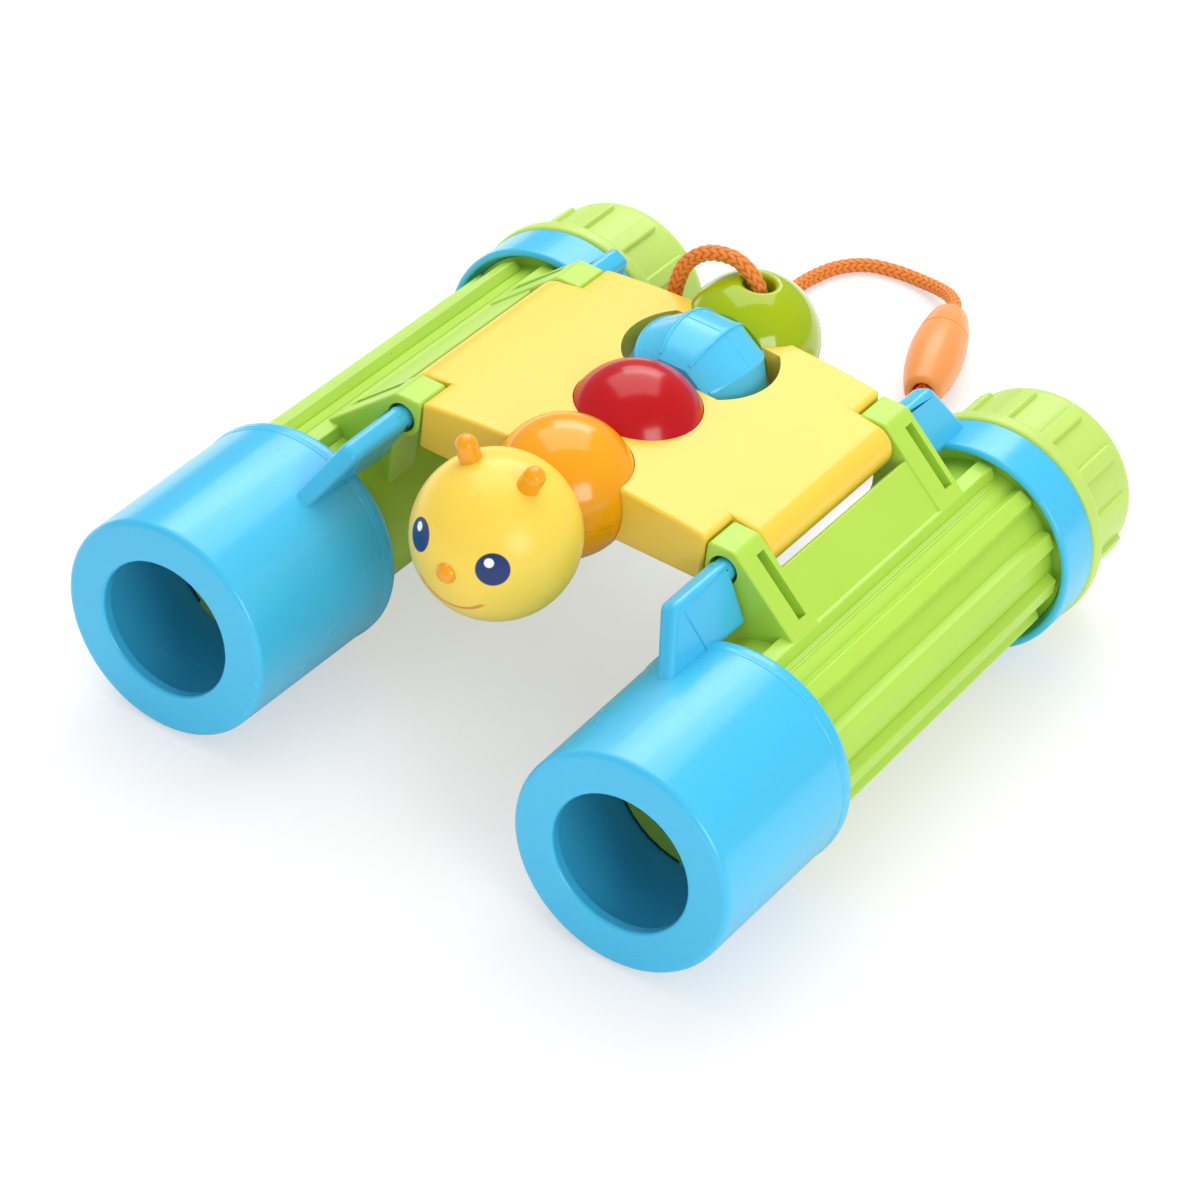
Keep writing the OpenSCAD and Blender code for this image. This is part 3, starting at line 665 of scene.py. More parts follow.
BLUE = plastic("cup_blue", colour("43C0EC"), 0.26, coat=0.2, glow=0.08)
WHEEL_BLUE = plastic("wheel_blue", colour("4CC4F0"), 0.26, coat=0.2, glow=0.08)
GREEN = plastic("barrel_green", colour("B4DC4C"), 0.36, glow=0.1)
LIGHT_GREEN = plastic("eyepiece_green", colour("C0DE6A"), 0.38, glow=0.18, reach=2.5)
YELLOW = plastic("plate_yellow", colour("F8CF44"), 0.32, coat=0.1, glow=0.1)
HEAD_YELLOW = head_plastic("head_yellow", colour("F8D650"))
ORANGE = plastic("ball_orange", colour("F5A408"), 0.18, coat=0.3, glow=0.15)
RED = plastic("ball_red", colour("BE000C"), 0.2, coat=0.1, glow=0.05)
OLIVE = plastic("bead_green", colour("A4BC00"), 0.12, coat=0.4, glow=0.1)
PEACH = plastic("connector_peach", colour("F6A058"), 0.3, glow=0.35, reach=3)
BLACK = plastic("tie_black", colour("2A2A2C"), 0.5)
BRAID = braid_material("cord_braid", colour("FC9C38"), colour("C4500A"))
GLASS = glass_material("lens_glass")
STEEL = steel_material("rod_steel")


def piece(name, bm, material, body, nodes, crease=CREASE):
    """Makes a body a finished piece that stands for CAD nodes and moves with a CAD body."""
    obj = plain_object(name, bm)
    mesh = obj.data
    mesh.transform(Matrix.Scale(MM, 4))
    mesh.shade_smooth()
    mesh.set_sharp_from_angle(angle=math.radians(crease))
    modifier = obj.modifiers.new("flat faces first", "WEIGHTED_NORMAL")
    modifier.keep_sharp = True
    smooth = finished_mesh(obj)
    obj.data = smooth
    bpy.data.meshes.remove(mesh)
    smooth.name = name
    smooth.materials.clear()
    smooth.materials.append(material)
    smooth.polygons.foreach_set("material_index", [0] * len(smooth.polygons))
    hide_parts(*nodes)
    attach(obj, body)
    return obj


def pair(name, bm, material, body, node, crease=CREASE):
    """The same piece on both barrels: it is drawn round the right barrel's axis."""
    for side, body_mesh in (("left", mirrored(bm)), ("right", bm)):
        x = AXIS.x if side == "right" else -AXIS.x
        moved(body_mesh, x, 0, AXIS.z)
        piece(f"{side}_{name}", body_mesh, material, f"{side}_{body}", [f"{side}_{node}"], crease)


# Geometry trees share their ends: named inputs with a material, and real meshes in that material
def new_tree(name, inputs, output):
    tree = bpy.data.node_groups.new(name, "GeometryNodeTree")
    for label, kind in {**inputs, "Material": "Material"}.items():
        tree.interface.new_socket(label, in_out="INPUT", socket_type=f"NodeSocket{kind}")
    tree.interface.new_socket(output, in_out="OUTPUT", socket_type="NodeSocketGeometry")
    net = Net(tree)
    return net, net.add("NodeGroupInput")


def end_tree(net, given, geometry, output):
    real = net.add("GeometryNodeRealizeInstances", None, {"Geometry": geometry})
    done = net.add("GeometryNodeSetMaterial", None, {"Geometry": real, "Material": given.out("Material")})
    net.add("NodeGroupOutput", None, {output: done})
    return net.tree


def ring_tree():
    """Copies of a body round the Y axis."""
    inputs = {"Body": "Geometry", "Count": "Int", "First": "Float", "Last": "Float"}
    net, given = new_tree("copies round an axis", inputs, "Copies")
    first = given.out("First")
    points = net.add("GeometryNodePoints", None, {"Count": given.out("Count")})
    index = net.add("GeometryNodeInputIndex")
    angle = first + (given.out("Last") - first) * index / (given.out("Count") - 1)
    copies = net.add("GeometryNodeInstanceOnPoints", None, {
        "Points": points,
        "Instance": given.out("Body"),
        "Rotation": net.add("ShaderNodeCombineXYZ", None, {"Y": angle}),
    })
    return end_tree(net, given, copies, "Copies")


def set_inputs(obj, tree, values):
    """Adds a tree to an object as a modifier, with its named inputs set."""
    modifier = obj.modifiers.new("nodes", "NODES")
    modifier.node_group = tree
    for item in tree.interface.items_tree:
        if item.in_out == "INPUT" and item.name in values:
            modifier[item.identifier] = values[item.name]


RING_TREE = ring_tree()


def round_axis(bm, count, first, last, material):
    """Copies of a body, at angles in degrees from Z towards X."""
    obj = plain_object("copies", bm)
    values = {"Count": count, "First": math.radians(first), "Last": math.radians(last), "Material": material}
    set_inputs(obj, RING_TREE, values)
    return taken_back(obj)


def all_round(bm, count, material):
    """Copies of a body in equal steps all round the axis, the first half a step from Z."""
    half = 180 / count
    return round_axis(bm, count, half, 360 - half, material)


# Front cups
CUP_EDGE = 1.3
HOLE_LIP = 0.7
HOLE_TAPER = 0.3
PARTING_H = 0.1
PARTING_W = 0.4
RIM_ROUNDING = 1.5
DRAFT_R = REST_R - 0.2
HINGE_PLAY = 0.3
WING_FOOT_Y = FRONT_Y + 0.6 * CUP_LEN
WING_TOP_Y = FRONT_Y + 0.8 * CUP_LEN
WING_END = BRIDGE_Y - HINGE_PLAY
WING_TIP_SHARE = 0.7
WING_TOP_R = HINGE_D + 0.85 * PIN_R
WING_LOW_R = (SOCKET_R + CUP_R) / 2
WING_EDGE = 1.3
WING_ROUNDING = 2
PLATE_ROUNDING = 0.5
SEAM_START = 1.2
PIN_SUNK = 2


def tapered(bm, thin_y, full_y, share):
    """Thins a body across X in front of full_y, down to a share of its width at thin_y."""
    for vert in bm.verts:
        along = min(max((vert.co.y - thin_y) / (full_y - thin_y), 0), 1)
        vert.co.x *= share + (1 - share) * along
    return bm


def wing_plate(points, thickness, edge):
    """A plate across X from an outline of (y, z) points."""
    plate = extruded([Vector((-p[0], p[1])) for p in points], -thickness / 2, thickness / 2, edge)
    return rotated(plate, -QUARTER, "Z")


def cup_body():
    shell = turned(outline([
        (HOLE_R, FRONT_Y, HOLE_LIP),
        (CUP_R, FRONT_Y, CUP_EDGE),
        (DRAFT_R, CREASE_Y - PARTING_W, 0.1),
        (DRAFT_R + PARTING_H, CREASE_Y - 0.7 * PARTING_W, 0.05),
        (DRAFT_R + PARTING_H, CREASE_Y, 0.05),
        (REST_R, CREASE_Y + 0.6, 0.4),
        (REST_R, RIM_Y, RIM_ROUNDING),
        (SOCKET_R, RIM_Y, 0.3),
        (SOCKET_R, TUBE_Y),
        (CAVITY_R, TUBE_Y),
        (CAVITY_R, FRONT_Y + CUP_FACE, 0.3),
        (HOLE_R + HOLE_TAPER, FRONT_Y + CUP_FACE, 0.1),
    ]), FINE_STEPS)
    plate = wing_plate(outline([
        (WING_FOOT_Y, WING_LOW_R),
        (WING_END, WING_LOW_R),
        (WING_END, WING_TOP_R, PLATE_ROUNDING),
        (WING_TOP_Y, WING_TOP_R, WING_ROUNDING),
    ]), WING_T, WING_EDGE)
    seam_y = WING_TOP_Y + SEAM_START
    seam = wing_plate(outline([
        (CREASE_Y - PARTING_W, WING_LOW_R),
        (CREASE_Y, WING_LOW_R),
        (seam_y + PARTING_W, HINGE_D),
        (seam_y, HINGE_D),
    ]), WING_T + 2 * PARTING_H, PARTING_H)
    bar = moved(rod(PIN_SHOWN_R, WING_END - PIN_SUNK, cup_high.y), z=HINGE_D)
    parts = [tapered(part, WING_FOOT_Y, RIM_Y - RIM_LEN / 2, WING_TIP_SHARE) for part in (plate, seam)]
    return union(shell, *(towards_hinge(part) for part in (*parts, bar)))


pair("cup", cup_body(), BLUE, "barrel", "front_cup", FINE_CREASE)

# Rear bands
BAND_LIP = 1.2
TAB_Y = BRIDGE_END + HINGE_PLAY
TAB_TOP_Y = TAB_Y + 0.54 * (BAND_END - TAB_Y)
TAB_FOOT_Y = TAB_Y + 0.93 * (BAND_END - TAB_Y)
TAB_LOW_R = (SOCKET_R + BAND_R) / 2
TAB_EDGE = 1.2


def band_body():
    ring = turned(outline([
        (SOCKET_R, SEAT_Y),
        (BAND_R - BAND_LIP - 0.3, BAND_Y + BAND_LIP, 0.4),
        (BAND_R - BAND_LIP - 0.2, BAND_Y, 0.55),
        (BAND_R, BAND_Y, 0.75),
        (BAND_R, BAND_END, 0.3),
        (SOCKET_R, BAND_END),
    ]), FINE_STEPS)
    plate = wing_plate(outline([
        (TAB_Y, TAB_LOW_R),
        (TAB_FOOT_Y, TAB_LOW_R),
        (TAB_TOP_Y, WING_TOP_R, WING_ROUNDING),
        (TAB_Y, WING_TOP_R, PLATE_ROUNDING),
    ]), WING_T, TAB_EDGE)
    bar = moved(rod(PIN_SHOWN_R, band_low.y, TAB_Y + PIN_SUNK), z=HINGE_D)
    return union(ring, *(towards_hinge(part) for part in (plate, bar)))


pair("band", band_body(), BLUE, "barrel", "rear_band", FINE_CREASE)

# Barrel tubes: arms and a web rise from each tube to its hinge
WALL_MID_R = (TUBE_R + BORE_R) / 2
ARM_TOP_IN = EDGE_R - 0.6
ARM_CORNER = Vector((-HINGE_IN + 0.4 * EDGE_R, HINGE_RISE + EDGE_R))
SLOPE_FOOT_ANGLE = math.radians(5.7)
SLOPE_FOOT = Vector((RIB_R * math.sin(SLOPE_FOOT_ANGLE), RIB_R * math.cos(SLOPE_FOOT_ANGLE)))
SLOPE = (SLOPE_FOOT - ARM_CORNER).normalized()
SLOPE_IN = Vector((SLOPE.y, -SLOPE.x))
GROOVE_W = 2.2
GROOVE_DEPTH = 3
GROOVE_SHARES = (0.14, 0.86)
GROOVE_PLACE_SHARE = 0.66
ARM_EDGE = 0.45
ARM_FOOT_DEGREES = 24
WEB_T = 2
WEB_DROP = 0.4
WEB_TOP_SHARE = 0.39
WEB_FOOT_DEGREES = (-5.7, 8)
WEB_INTO_ARM = 0.4
PIN_GAP = 0.4
BAR_ROOT = 1
SEAM_W = 0.3
SEAM_H = 0.12
SEAM_DEGREES = (12.2, 14.2)


def on_barrel(r, degrees):
    return (-r * math.sin(math.radians(degrees)), r * math.cos(math.radians(degrees)))


def arm_body(start):
    in_x = -HINGE_IN + 0.2 * EDGE_R
    low_z = HINGE_RISE - ARM_TOP_IN
    left = -HINGE_IN - ARM_TOP_IN
    hinge_degrees = math.degrees(HINGE_ANGLE)
    arm = extruded(outline([
        (left, HINGE_RISE + EDGE_R, 0.9),
        (*ARM_CORNER, 2),
        (*SLOPE_FOOT,),
        on_barrel(WALL_MID_R, 0),
        on_barrel(WALL_MID_R, hinge_degrees),
        on_barrel(WALL_MID_R, hinge_degrees + ARM_FOOT_DEGREES),
        (in_x, low_z, 0.5),
        (left, low_z, 3.4),
    ]), start, start + ARM_W, ARM_EDGE)
    hole = moved(rod(PIN_R + PIN_GAP, start - CUT_PAST, start + ARM_W + CUT_PAST), x=-HINGE_IN, z=HINGE_RISE)
    top, foot = (ARM_CORNER.lerp(SLOPE_FOOT, share) for share in GROOVE_SHARES)
    middle = start + GROOVE_PLACE_SHARE * ARM_W
    deep = SLOPE_IN * GROOVE_DEPTH
    groove = [top - SLOPE_IN, foot - SLOPE_IN, foot + deep, top + deep]
    return cut(arm, hole, extruded(groove, middle - GROOVE_W / 2, middle + GROOVE_W / 2))


def web_body():
    top = ARM_CORNER.lerp(SLOPE_FOOT, WEB_TOP_SHARE) + SLOPE_IN * WEB_DROP
    back = top + SLOPE_IN * (WEB_T - WEB_DROP)
    inset_y = ARM_W - WEB_INTO_ARM
    return extruded(outline([
        (*top, 0.35),
        (*(SLOPE_FOOT + SLOPE_IN * WEB_DROP),),
        *(on_barrel(WALL_MID_R, degrees) for degrees in WEB_FOOT_DEGREES),
        (*back, 0.3),
    ]), BRIDGE_Y + inset_y, BRIDGE_END - inset_y)


def rib_body():
    top = RIB_W / 2
    foot = top + RIB_FLANK
    root = TUBE_R - 0.9
    skin = TUBE_R + 0.1
    return extruded(outline([
        (-foot, root), (-foot, skin), (-top, RIB_R, 0.35), (top, RIB_R, 0.35), (foot, skin), (foot, root),
    ], 4), TUBE_Y, RIB_END, 0.4)


def seam_strip(degrees):
    """A fine raised line along the tube."""
    points = bar_outline(SEAM_W, TUBE_R - BAR_ROOT, TUBE_R + SEAM_H, 0.05, 2)
    strip = extruded(points, TUBE_Y + 1, BAND_Y + 1, 0.05, 2)
    return rotated(strip, math.radians(degrees), "Y")


def tube_body():
    seat_end = TUBE_Y + LENS_SEAT_LEN
    tube = turned(outline([
        (LENS_SEAT_R, TUBE_Y, 0.2),
        (TUBE_R, TUBE_Y, 0.3),
        (TUBE_R, SEAT_Y),
        (RIB_R, SEAT_Y),
        (RIB_R, BAND_END),
        (BORE_R, BAND_END),
        (BORE_R, seat_end),
        (LENS_SEAT_R, seat_end),
    ]), FINE_STEPS)
    ribs = round_axis(rib_body(), RIB_COUNT, RIB_FIRST, RIB_LAST, GREEN)
    arms = joined(arm_body(BRIDGE_Y), arm_body(BRIDGE_END - ARM_W))
    seams = joined(*(seam_strip(degrees) for degrees in SEAM_DEGREES))
    body = union(tube, ribs, web_body(), arms, seams)
    return cut(body, rod(BORE_R, seat_end, BAND_END + CUT_PAST, FINE_STEPS))


pair("barrel", tube_body(), GREEN, "barrel", "barrel_tube", FINE_CREASE)


# Eyepieces
def grip_body():
    points = bar_outline(GRIP_W, KNOB_R - BAR_ROOT, KNOB_R + GRIP_H, 0.4, 3, 0.3)
    return extruded(points, KNOB_Y + 0.06 * KNOB_LEN, KNOB_Y + 0.74 * KNOB_LEN, 0.4)


def eyepiece_body():
    knob = turned(outline([
        (KNOB_BORE_R, eye_low.y),
        (SPIGOT_R, eye_low.y, 0.3),
        (SPIGOT_R, BAND_END + TWIST_GAP),
        (REST_R, BAND_END + TWIST_GAP, 0.9),
        (REST_R, KNOB_Y, 1.4),
        (KNOB_R, KNOB_Y, 0.7),
        (KNOB_R, KNOB_END, 3.4),
        (EYE_HOLE_R, KNOB_END, 0.9),
        (EYE_HOLE_R, KNOB_END - KNOB_FACE),
        (KNOB_BORE_R, KNOB_END - KNOB_FACE),
    ], 8), FINE_STEPS)
    return union(knob, all_round(grip_body(), GRIP_COUNT, LIGHT_GREEN))


pair("eyepiece_knob", eyepiece_body(), LIGHT_GREEN, "eyepiece", "eyepiece")

# Bridge plate: two covers parted at the hinges, each a skin drawn from front to back
PLATE_EDGE = 0.7
NOSE_EDGE = 0.8
EDGE_STEPS = 5
SHOULDER_X = 27
SIDE_POINTS = 10
WALL_POINTS = 6
CROWN_POINTS = 28
WELL_BACK = 0.5
WELL_PLAY = 0.15
BORE_PLAY = 0.3
PIN_BORE_R = PIN_R + 0.05
STEP_W = 12
STEP_LEN = 16 + NOTCH_LEN
STEP_EDGE = 0.8
SCREW_PLAY = 0.05
SCREW_R = 1.25
SCREW_HEAD_R = 2.4
SCREW_HEAD_H = 1.6
SCREW_LEN = 6.4
SCREW_X = 23.11
SCREW_Y = (-14.57, 20.07)


def crown_rise(x):
    top = plate_high.z - HINGE.z
    return top - CROWN_R + math.sqrt(CROWN_R**2 - x**2)


def flat_rise(x):
    return EDGE_R


def wide_side(rise):
    """The plate's rounded edge, from the parting up to the shoulder, with its outward directions."""
    points = []
    for a in spaced(0, QUARTER, SIDE_POINTS - 1):
        out = Vector((math.cos(a), math.sin(a)))
        points.append((Vector((HINGE.x, 0)) + EDGE_R * out, out))
    for share in (0.35, 0.7):
        x = HINGE.x + (SHOULDER_X - HINGE.x) * share
        points.append((Vector((x, rise(x))), Vector((0, 1 - share))))
    return points


def narrow_side(rise):
    """The straight wall of a notch, from the parting up to the shoulder."""
    corner_z = rise(NOTCH_X) - PLATE_EDGE
    points = [(Vector((NOTCH_X, z)), Vector((1, 0))) for z in spaced(0, corner_z, WALL_POINTS)]
    for a in spaced(0, QUARTER, SIDE_POINTS + 1 - WALL_POINTS)[1:]:
        out = Vector((math.cos(a), math.sin(a)))
        points.append((Vector((NOTCH_X - PLATE_EDGE, corner_z)) + PLATE_EDGE * out, out))
    return points


def plate_ring(side, rise, y, sign, pull_side, pull_top):
    half = [point - out * pull_side for point, out in side]
    xs = spaced(SHOULDER_X, -SHOULDER_X, CROWN_POINTS)
    top = [Vector((x, rise(x) - pull_top)) for x in xs]
    ring = half + top + [Vector((-p.x, p.y)) for p in reversed(half)]
    return [(p.x, y, HINGE.z + sign * p.y) for p in ring]


def plate_body(rise, sign):
    narrow, wide = narrow_side(rise), wide_side(rise)
    nose_y = BRIDGE_Y + NOTCH_LEN
    front = [(narrow, BRIDGE_Y + depth, pull, pull) for depth, pull in edge_layers(PLATE_EDGE, EDGE_STEPS)]
    front.append((narrow, nose_y, 0, 0))
    front += [(wide, nose_y + depth, pull, 0) for depth, pull in edge_layers(NOSE_EDGE, EDGE_STEPS)]
    back = [(side, BRIDGE_Y + BRIDGE_END - y, a, b) for side, y, a, b in reversed(front)]
    rings = [plate_ring(side, rise, y, sign, a, b) for side, y, a, b in front + back]
    return joined_rings(rings, False)


def plate_cutters():
    """The seats of the balls, the wheel's well, the hinge pins' bores and the screws' holes."""
    balls = [sphere_cutter(SEGMENT_R + BALL_SEAT, y, SPINE.z) for y in (FRONT_BALL_Y, MIDDLE_BALL_Y, TAIL_Y)]
    well = rotated(rod(WHEEL_R + WELL_GAP, -CUT_REACH, CUT_REACH, TURN_STEPS), QUARTER, "X")
    moved(well, 0, WHEEL_Y + WELL_BACK, SPINE.z)
    low = (-CUT_REACH, wheel_low.y - WELL_PLAY, CUT_LOW)
    high = (CUT_REACH, wheel_high.y + WELL_PLAY, CUT_HIGH)
    well = combined("INTERSECT", well, box_body(low, high))
    spans = ((BRIDGE_Y - CUT_PAST, cup_high.y + BORE_PLAY), (band_low.y - BORE_PLAY, BRIDGE_END + CUT_PAST))
    bores = []
    for x in (-HINGE.x, HINGE.x):
        bores += [moved(rod(PIN_BORE_R, *span), x=x, z=HINGE.z) for span in spans]
    screws = []
    for x in (-SCREW_X, SCREW_X):
        for y in SCREW_Y:
            shank = rod(SCREW_R + SCREW_PLAY, 0, SCREW_HEAD_H + SCREW_LEN + SCREW_PLAY)
            recess = rod(SCREW_HEAD_R + 2 * SCREW_PLAY, -CUT_PAST, SCREW_HEAD_H)
            hole = rotated(union(shank, recess), QUARTER, "X")
            screws.append(moved(hole, x, y, HINGE.z - EDGE_R))
    return [*balls, well, *bores, *screws]


def bottom_cover():
    """The lower cover, stepped up beside its front notches."""
    start = BRIDGE_Y + 1
    low = (NOTCH_X, start, HINGE.z - EDGE_R - 3)
    high = (NOTCH_X + STEP_W, start + STEP_LEN, HINGE.z - 0.7 * EDGE_R)
    step = box_body(low, high, STEP_EDGE)
    return cut(plate_body(flat_rise, -1), *plate_cutters(), mirrored(step), step)


def top_cover():
    return cut(plate_body(crown_rise, 1), *plate_cutters())


piece("plate_top", top_cover(), YELLOW, "bridge", ["bridge_top_cover"])
piece("plate_bottom", bottom_cover(), YELLOW, "bridge", ["bridge_bottom_cover"])


# Balls of the crawler, turned about the rod that holds them
BALL_EASE = 0.25
HALF_EASE = 0.12
SHARP_ANGLE = 0.5
WHEEL_GAP = 0.3
BEAD_HOLE_R = 2.85
BEAD_LIP = 0.9


def ball_body(start, end, y):
    """A ball with its centre at y, between two planes across the rod, with eased edges and a bore."""
    low, high = start - y, end - y
    ease = BALL_EASE / SEGMENT_R
    first, last = (math.acos(min(max(-place / SEGMENT_R, -1), 1)) for place in (low, high))
    arc = ball_arc(SEGMENT_R, first + ease, last - ease, 40)
    front = [(ROD_R, low), (arc[0][0] - BALL_EASE, low)]
    back = [(arc[-1][0] - BALL_EASE, high), (ROD_R, high)]
    return moved(turned(front + arc + back), y=y, z=SPINE.z)


def half_ball(above):
    """The front ball's upper or lower half, with its parting edge eased."""
    ball = halved(ball_body(NECK_Y, FRONT_JOINT_Y, FRONT_BALL_Y), HINGE.z, above)
    at_cut = [edge for edge in ball.edges if all(abs(v.co.z - HINGE.z) < NEAR for v in edge.verts)]
    sharp = [edge for edge in at_cut if edge.calc_face_angle(0) > SHARP_ANGLE]
    bmesh.ops.bevel(ball, geom=sharp, offset=HALF_EASE, segments=2, profile=0.5, affect="EDGES")
    return ball


for name, above in (("upper", True), ("lower", False)):
    nodes = [f"front_segment_{name}"]
    piece(f"orange_ball_{name}", half_ball(above), ORANGE, "bridge", nodes)

red_ball = ball_body(FRONT_JOINT_Y, wheel_low.y - WHEEL_GAP, MIDDLE_BALL_Y)
piece("red_ball", red_ball, RED, "bridge", ["middle_segment"])


def bead_body():
    """The tail bead: a ball cut flat towards the wheel, with an upright hole whose mouths are rounded."""
    turn = math.asin((BEAD_HOLE_R + BEAD_LIP) / (SEGMENT_R - BEAD_LIP))
    lip_z = (SEGMENT_R - BEAD_LIP) * math.cos(turn)
    arc = spaced(math.pi, QUARTER - turn, DOME_STEPS)
    mouth = [(BEAD_HOLE_R + BEAD_LIP * (1 + math.cos(a)), lip_z + BEAD_LIP * math.sin(a)) for a in arc]
    skin = [(r, -z) for r, z in ball_arc(SEGMENT_R, turn, math.pi - turn, 56)[1:-1]]
    profile = mouth + skin + [(r, -z) for r, z in reversed(mouth)]
    ball = moved(rotated(turned(profile), QUARTER, "X"), y=TAIL_Y, z=SPINE.z)
    front = box_body((-CUT_REACH, 0, CUT_LOW), (CUT_REACH, bead_low.y, CUT_HIGH))
    bore = moved(rod(ROD_R, bead_low.y - CUT_PAST, ROD_END), z=SPINE.z)
    return cut(ball, front, bore)


piece("tail_ball", bead_body(), OLIVE, "bridge", ["tail_bead"])


# Focus wheel: flat panels that bulge along the rod, with raised ridges between them
PANELS = 10
PANEL_STEPS = 4
PANEL_BULGE = 0.0335
PANEL_EDGE_BULGE = 0.00016
CREASE_DEPTH = 0.12
CREASE_HALF_W = 0.16
RIDGE_W = 0.7
RIDGE_H = 0.17
RIDGE_END = 0.2


def wheel_r(y):
    return WHEEL_R - RIDGE_H - PANEL_BULGE * y**2 - PANEL_EDGE_BULGE * y**4


def wheel_stations():
    return sorted(spaced(-WHEEL_HALF, WHEEL_HALF, 28) + [-CREASE_HALF_W, CREASE_HALF_W])


def wheel_body():
    angles = spaced(0, TAU, PANELS * PANEL_STEPS)[:-1]
    across = TAU / PANELS

    def bore_ring(y):
        return [(ROD_R * math.sin(a), y, ROD_R * math.cos(a)) for a in angles]

    rings = [bore_ring(-WHEEL_HALF)]
    for y in wheel_stations():
        ring = []
        for k, angle in enumerate(angles):
            within = (k % PANEL_STEPS) / PANEL_STEPS - 0.5
            flat = math.cos(across / 2) / math.cos(within * across)
            r = wheel_r(y) * flat - (CREASE_DEPTH if abs(y) < NEAR else 0)
            a = angle + QUARTER
            ring.append((r * math.sin(a), y, r * math.cos(a)))
        rings.append(ring)
    return joined_rings([*rings, bore_ring(WHEEL_HALF)], True)


def ridge_body():
    rings = []
    for y in wheel_stations():
        if abs(y) < WHEEL_HALF - RIDGE_END:
            r = wheel_r(y)
            points = bar_outline(RIDGE_W, r - BAR_ROOT, r + RIDGE_H, 0.09, 2)
            rings.append([(p.x, y, p.y) for p in points])
    return joined_rings(rings, False)


def focus_wheel_body():
    ridges = all_round(ridge_body(), PANELS, WHEEL_BLUE)
    return moved(union(wheel_body(), ridges), y=WHEEL_Y, z=SPINE.z)


wheel = focus_wheel_body()
piece("panel_wheel", wheel, WHEEL_BLUE, "focus_wheel", ["focus_wheel"], FINE_CREASE)

# Head, antennae and nose
ANTENNA_R = 1.9
ANTENNA_OUT = 4.3
ANTENNA_LEAN = 23.4
ANTENNA_PITCH = 5
NOSE_R = 1.9


def head_body():
    neck = NECK_Y - HEAD.y
    last = math.acos(-neck / HEAD_R) - BALL_EASE / HEAD_R
    arc = ball_arc(HEAD_R, 0, last, 72)
    profile = arc + [(arc[-1][0] - BALL_EASE, neck), (ROD_R, neck), (ROD_R, neck / 2), (0, neck / 2)]
    return moved(turned(profile, TURN_STEPS, False), y=HEAD.y, z=HEAD.z)


def antenna_body(side):
    """A stub with a domed end, a little wider at its foot."""
    foot = HEAD_R - ANTENNA_OUT
    end = HEAD_R + ANTENNA_OUT
    arc = spaced(QUARTER, 0, DOME_STEPS)
    dome = [(ANTENNA_R * math.sin(a), end - ANTENNA_R * (1 - math.cos(a))) for a in arc]
    profile = [(0, foot), (ANTENNA_R, foot), (ANTENNA_R * 1.02, HEAD_R), *dome]
    stub = rotated(turned(profile, ROD_STEPS, False), QUARTER, "X")
    rotated(stub, math.radians(ANTENNA_PITCH), "X")
    rotated(stub, math.radians(side * ANTENNA_LEAN), "Y")
    return moved(stub, 0, HEAD.y, HEAD.z)


def nose_body():
    """A low round button."""
    ball = turned(ball_arc(NOSE_R, 0, math.pi, 16), ROD_STEPS, False)
    return moved(ball, 0, HEAD.y - HEAD_R + NOSE_R / 3, HEAD.z)


antennae = joined(antenna_body(-1), antenna_body(1))
piece("head_ball", head_body(), HEAD_YELLOW, "bridge", ["head"])
piece("antenna_stubs", antennae, ORANGE, "bridge", ["antennae"])
piece("nose_button", nose_body(), ORANGE, "bridge", ["nose"])


# Screws under the plate
THREADS = 10
THREAD_FIRST = 0.1
THREAD_SPAN = 0.88
THREAD_ROOT = 0.8
THREAD_RISE = 0.25
CROSS_W = 0.6
CROSS_LEN = 2.6
CROSS_DEPTH = 0.8


def screw_tree():
    inputs = {"Screw": "Geometry", "Across": "Float", "Along": "Float", "Middle": "Vector"}
    net, given = new_tree("screws in rows", inputs, "Screws")
    grid = net.add("GeometryNodeMeshGrid", None, {
        "Size X": given.out("Across"), "Size Y": given.out("Along"), "Vertices X": 2, "Vertices Y": 2,
    })
    placed = net.add("GeometryNodeTransform", None, {"Geometry": grid, "Translation": given.out("Middle")})
    copies = net.add("GeometryNodeInstanceOnPoints", None, {"Points": placed, "Instance": given.out("Screw")})
    return end_tree(net, given, copies, "Screws")


def screw_body():
    """A screw with its point up: a domed head with a cross recess, and a threaded shank."""
    shank = []
    for k in range(THREADS):
        start = SCREW_HEAD_H + SCREW_LEN * (THREAD_FIRST + THREAD_SPAN * k / THREADS)
        shank += [(SCREW_R * THREAD_ROOT, start), (SCREW_R, start + THREAD_RISE)]
    head = [(0, 0), (SCREW_HEAD_R * 0.6, 0.05), (SCREW_HEAD_R * 0.9, 0.35), (SCREW_HEAD_R, 0.8)]
    profile = head + [(SCREW_HEAD_R, SCREW_HEAD_H), (SCREW_R, SCREW_HEAD_H)] + shank
    body = turned([*profile, (0, SCREW_HEAD_H + SCREW_LEN)], 32, False)
    slots = []
    for w, d in ((CROSS_LEN / 2, CROSS_W / 2), (CROSS_W / 2, CROSS_LEN / 2)):
        slots.append(box_body((-w, -CUT_PAST, -d), (w, CROSS_DEPTH, d)))
    return rotated(cut(body, *slots), QUARTER, "X")


screws = plain_object("screw", screw_body())
set_inputs(screws, screw_tree(), {
    "Across": 2 * SCREW_X, "Along": SCREW_Y[1] - SCREW_Y[0], "Material": STEEL,
    "Middle": (0, sum(SCREW_Y) / 2, HINGE.z - EDGE_R),
})
piece("plate_screws", taken_back(screws), STEEL, "bridge", ["bridge_screws"])

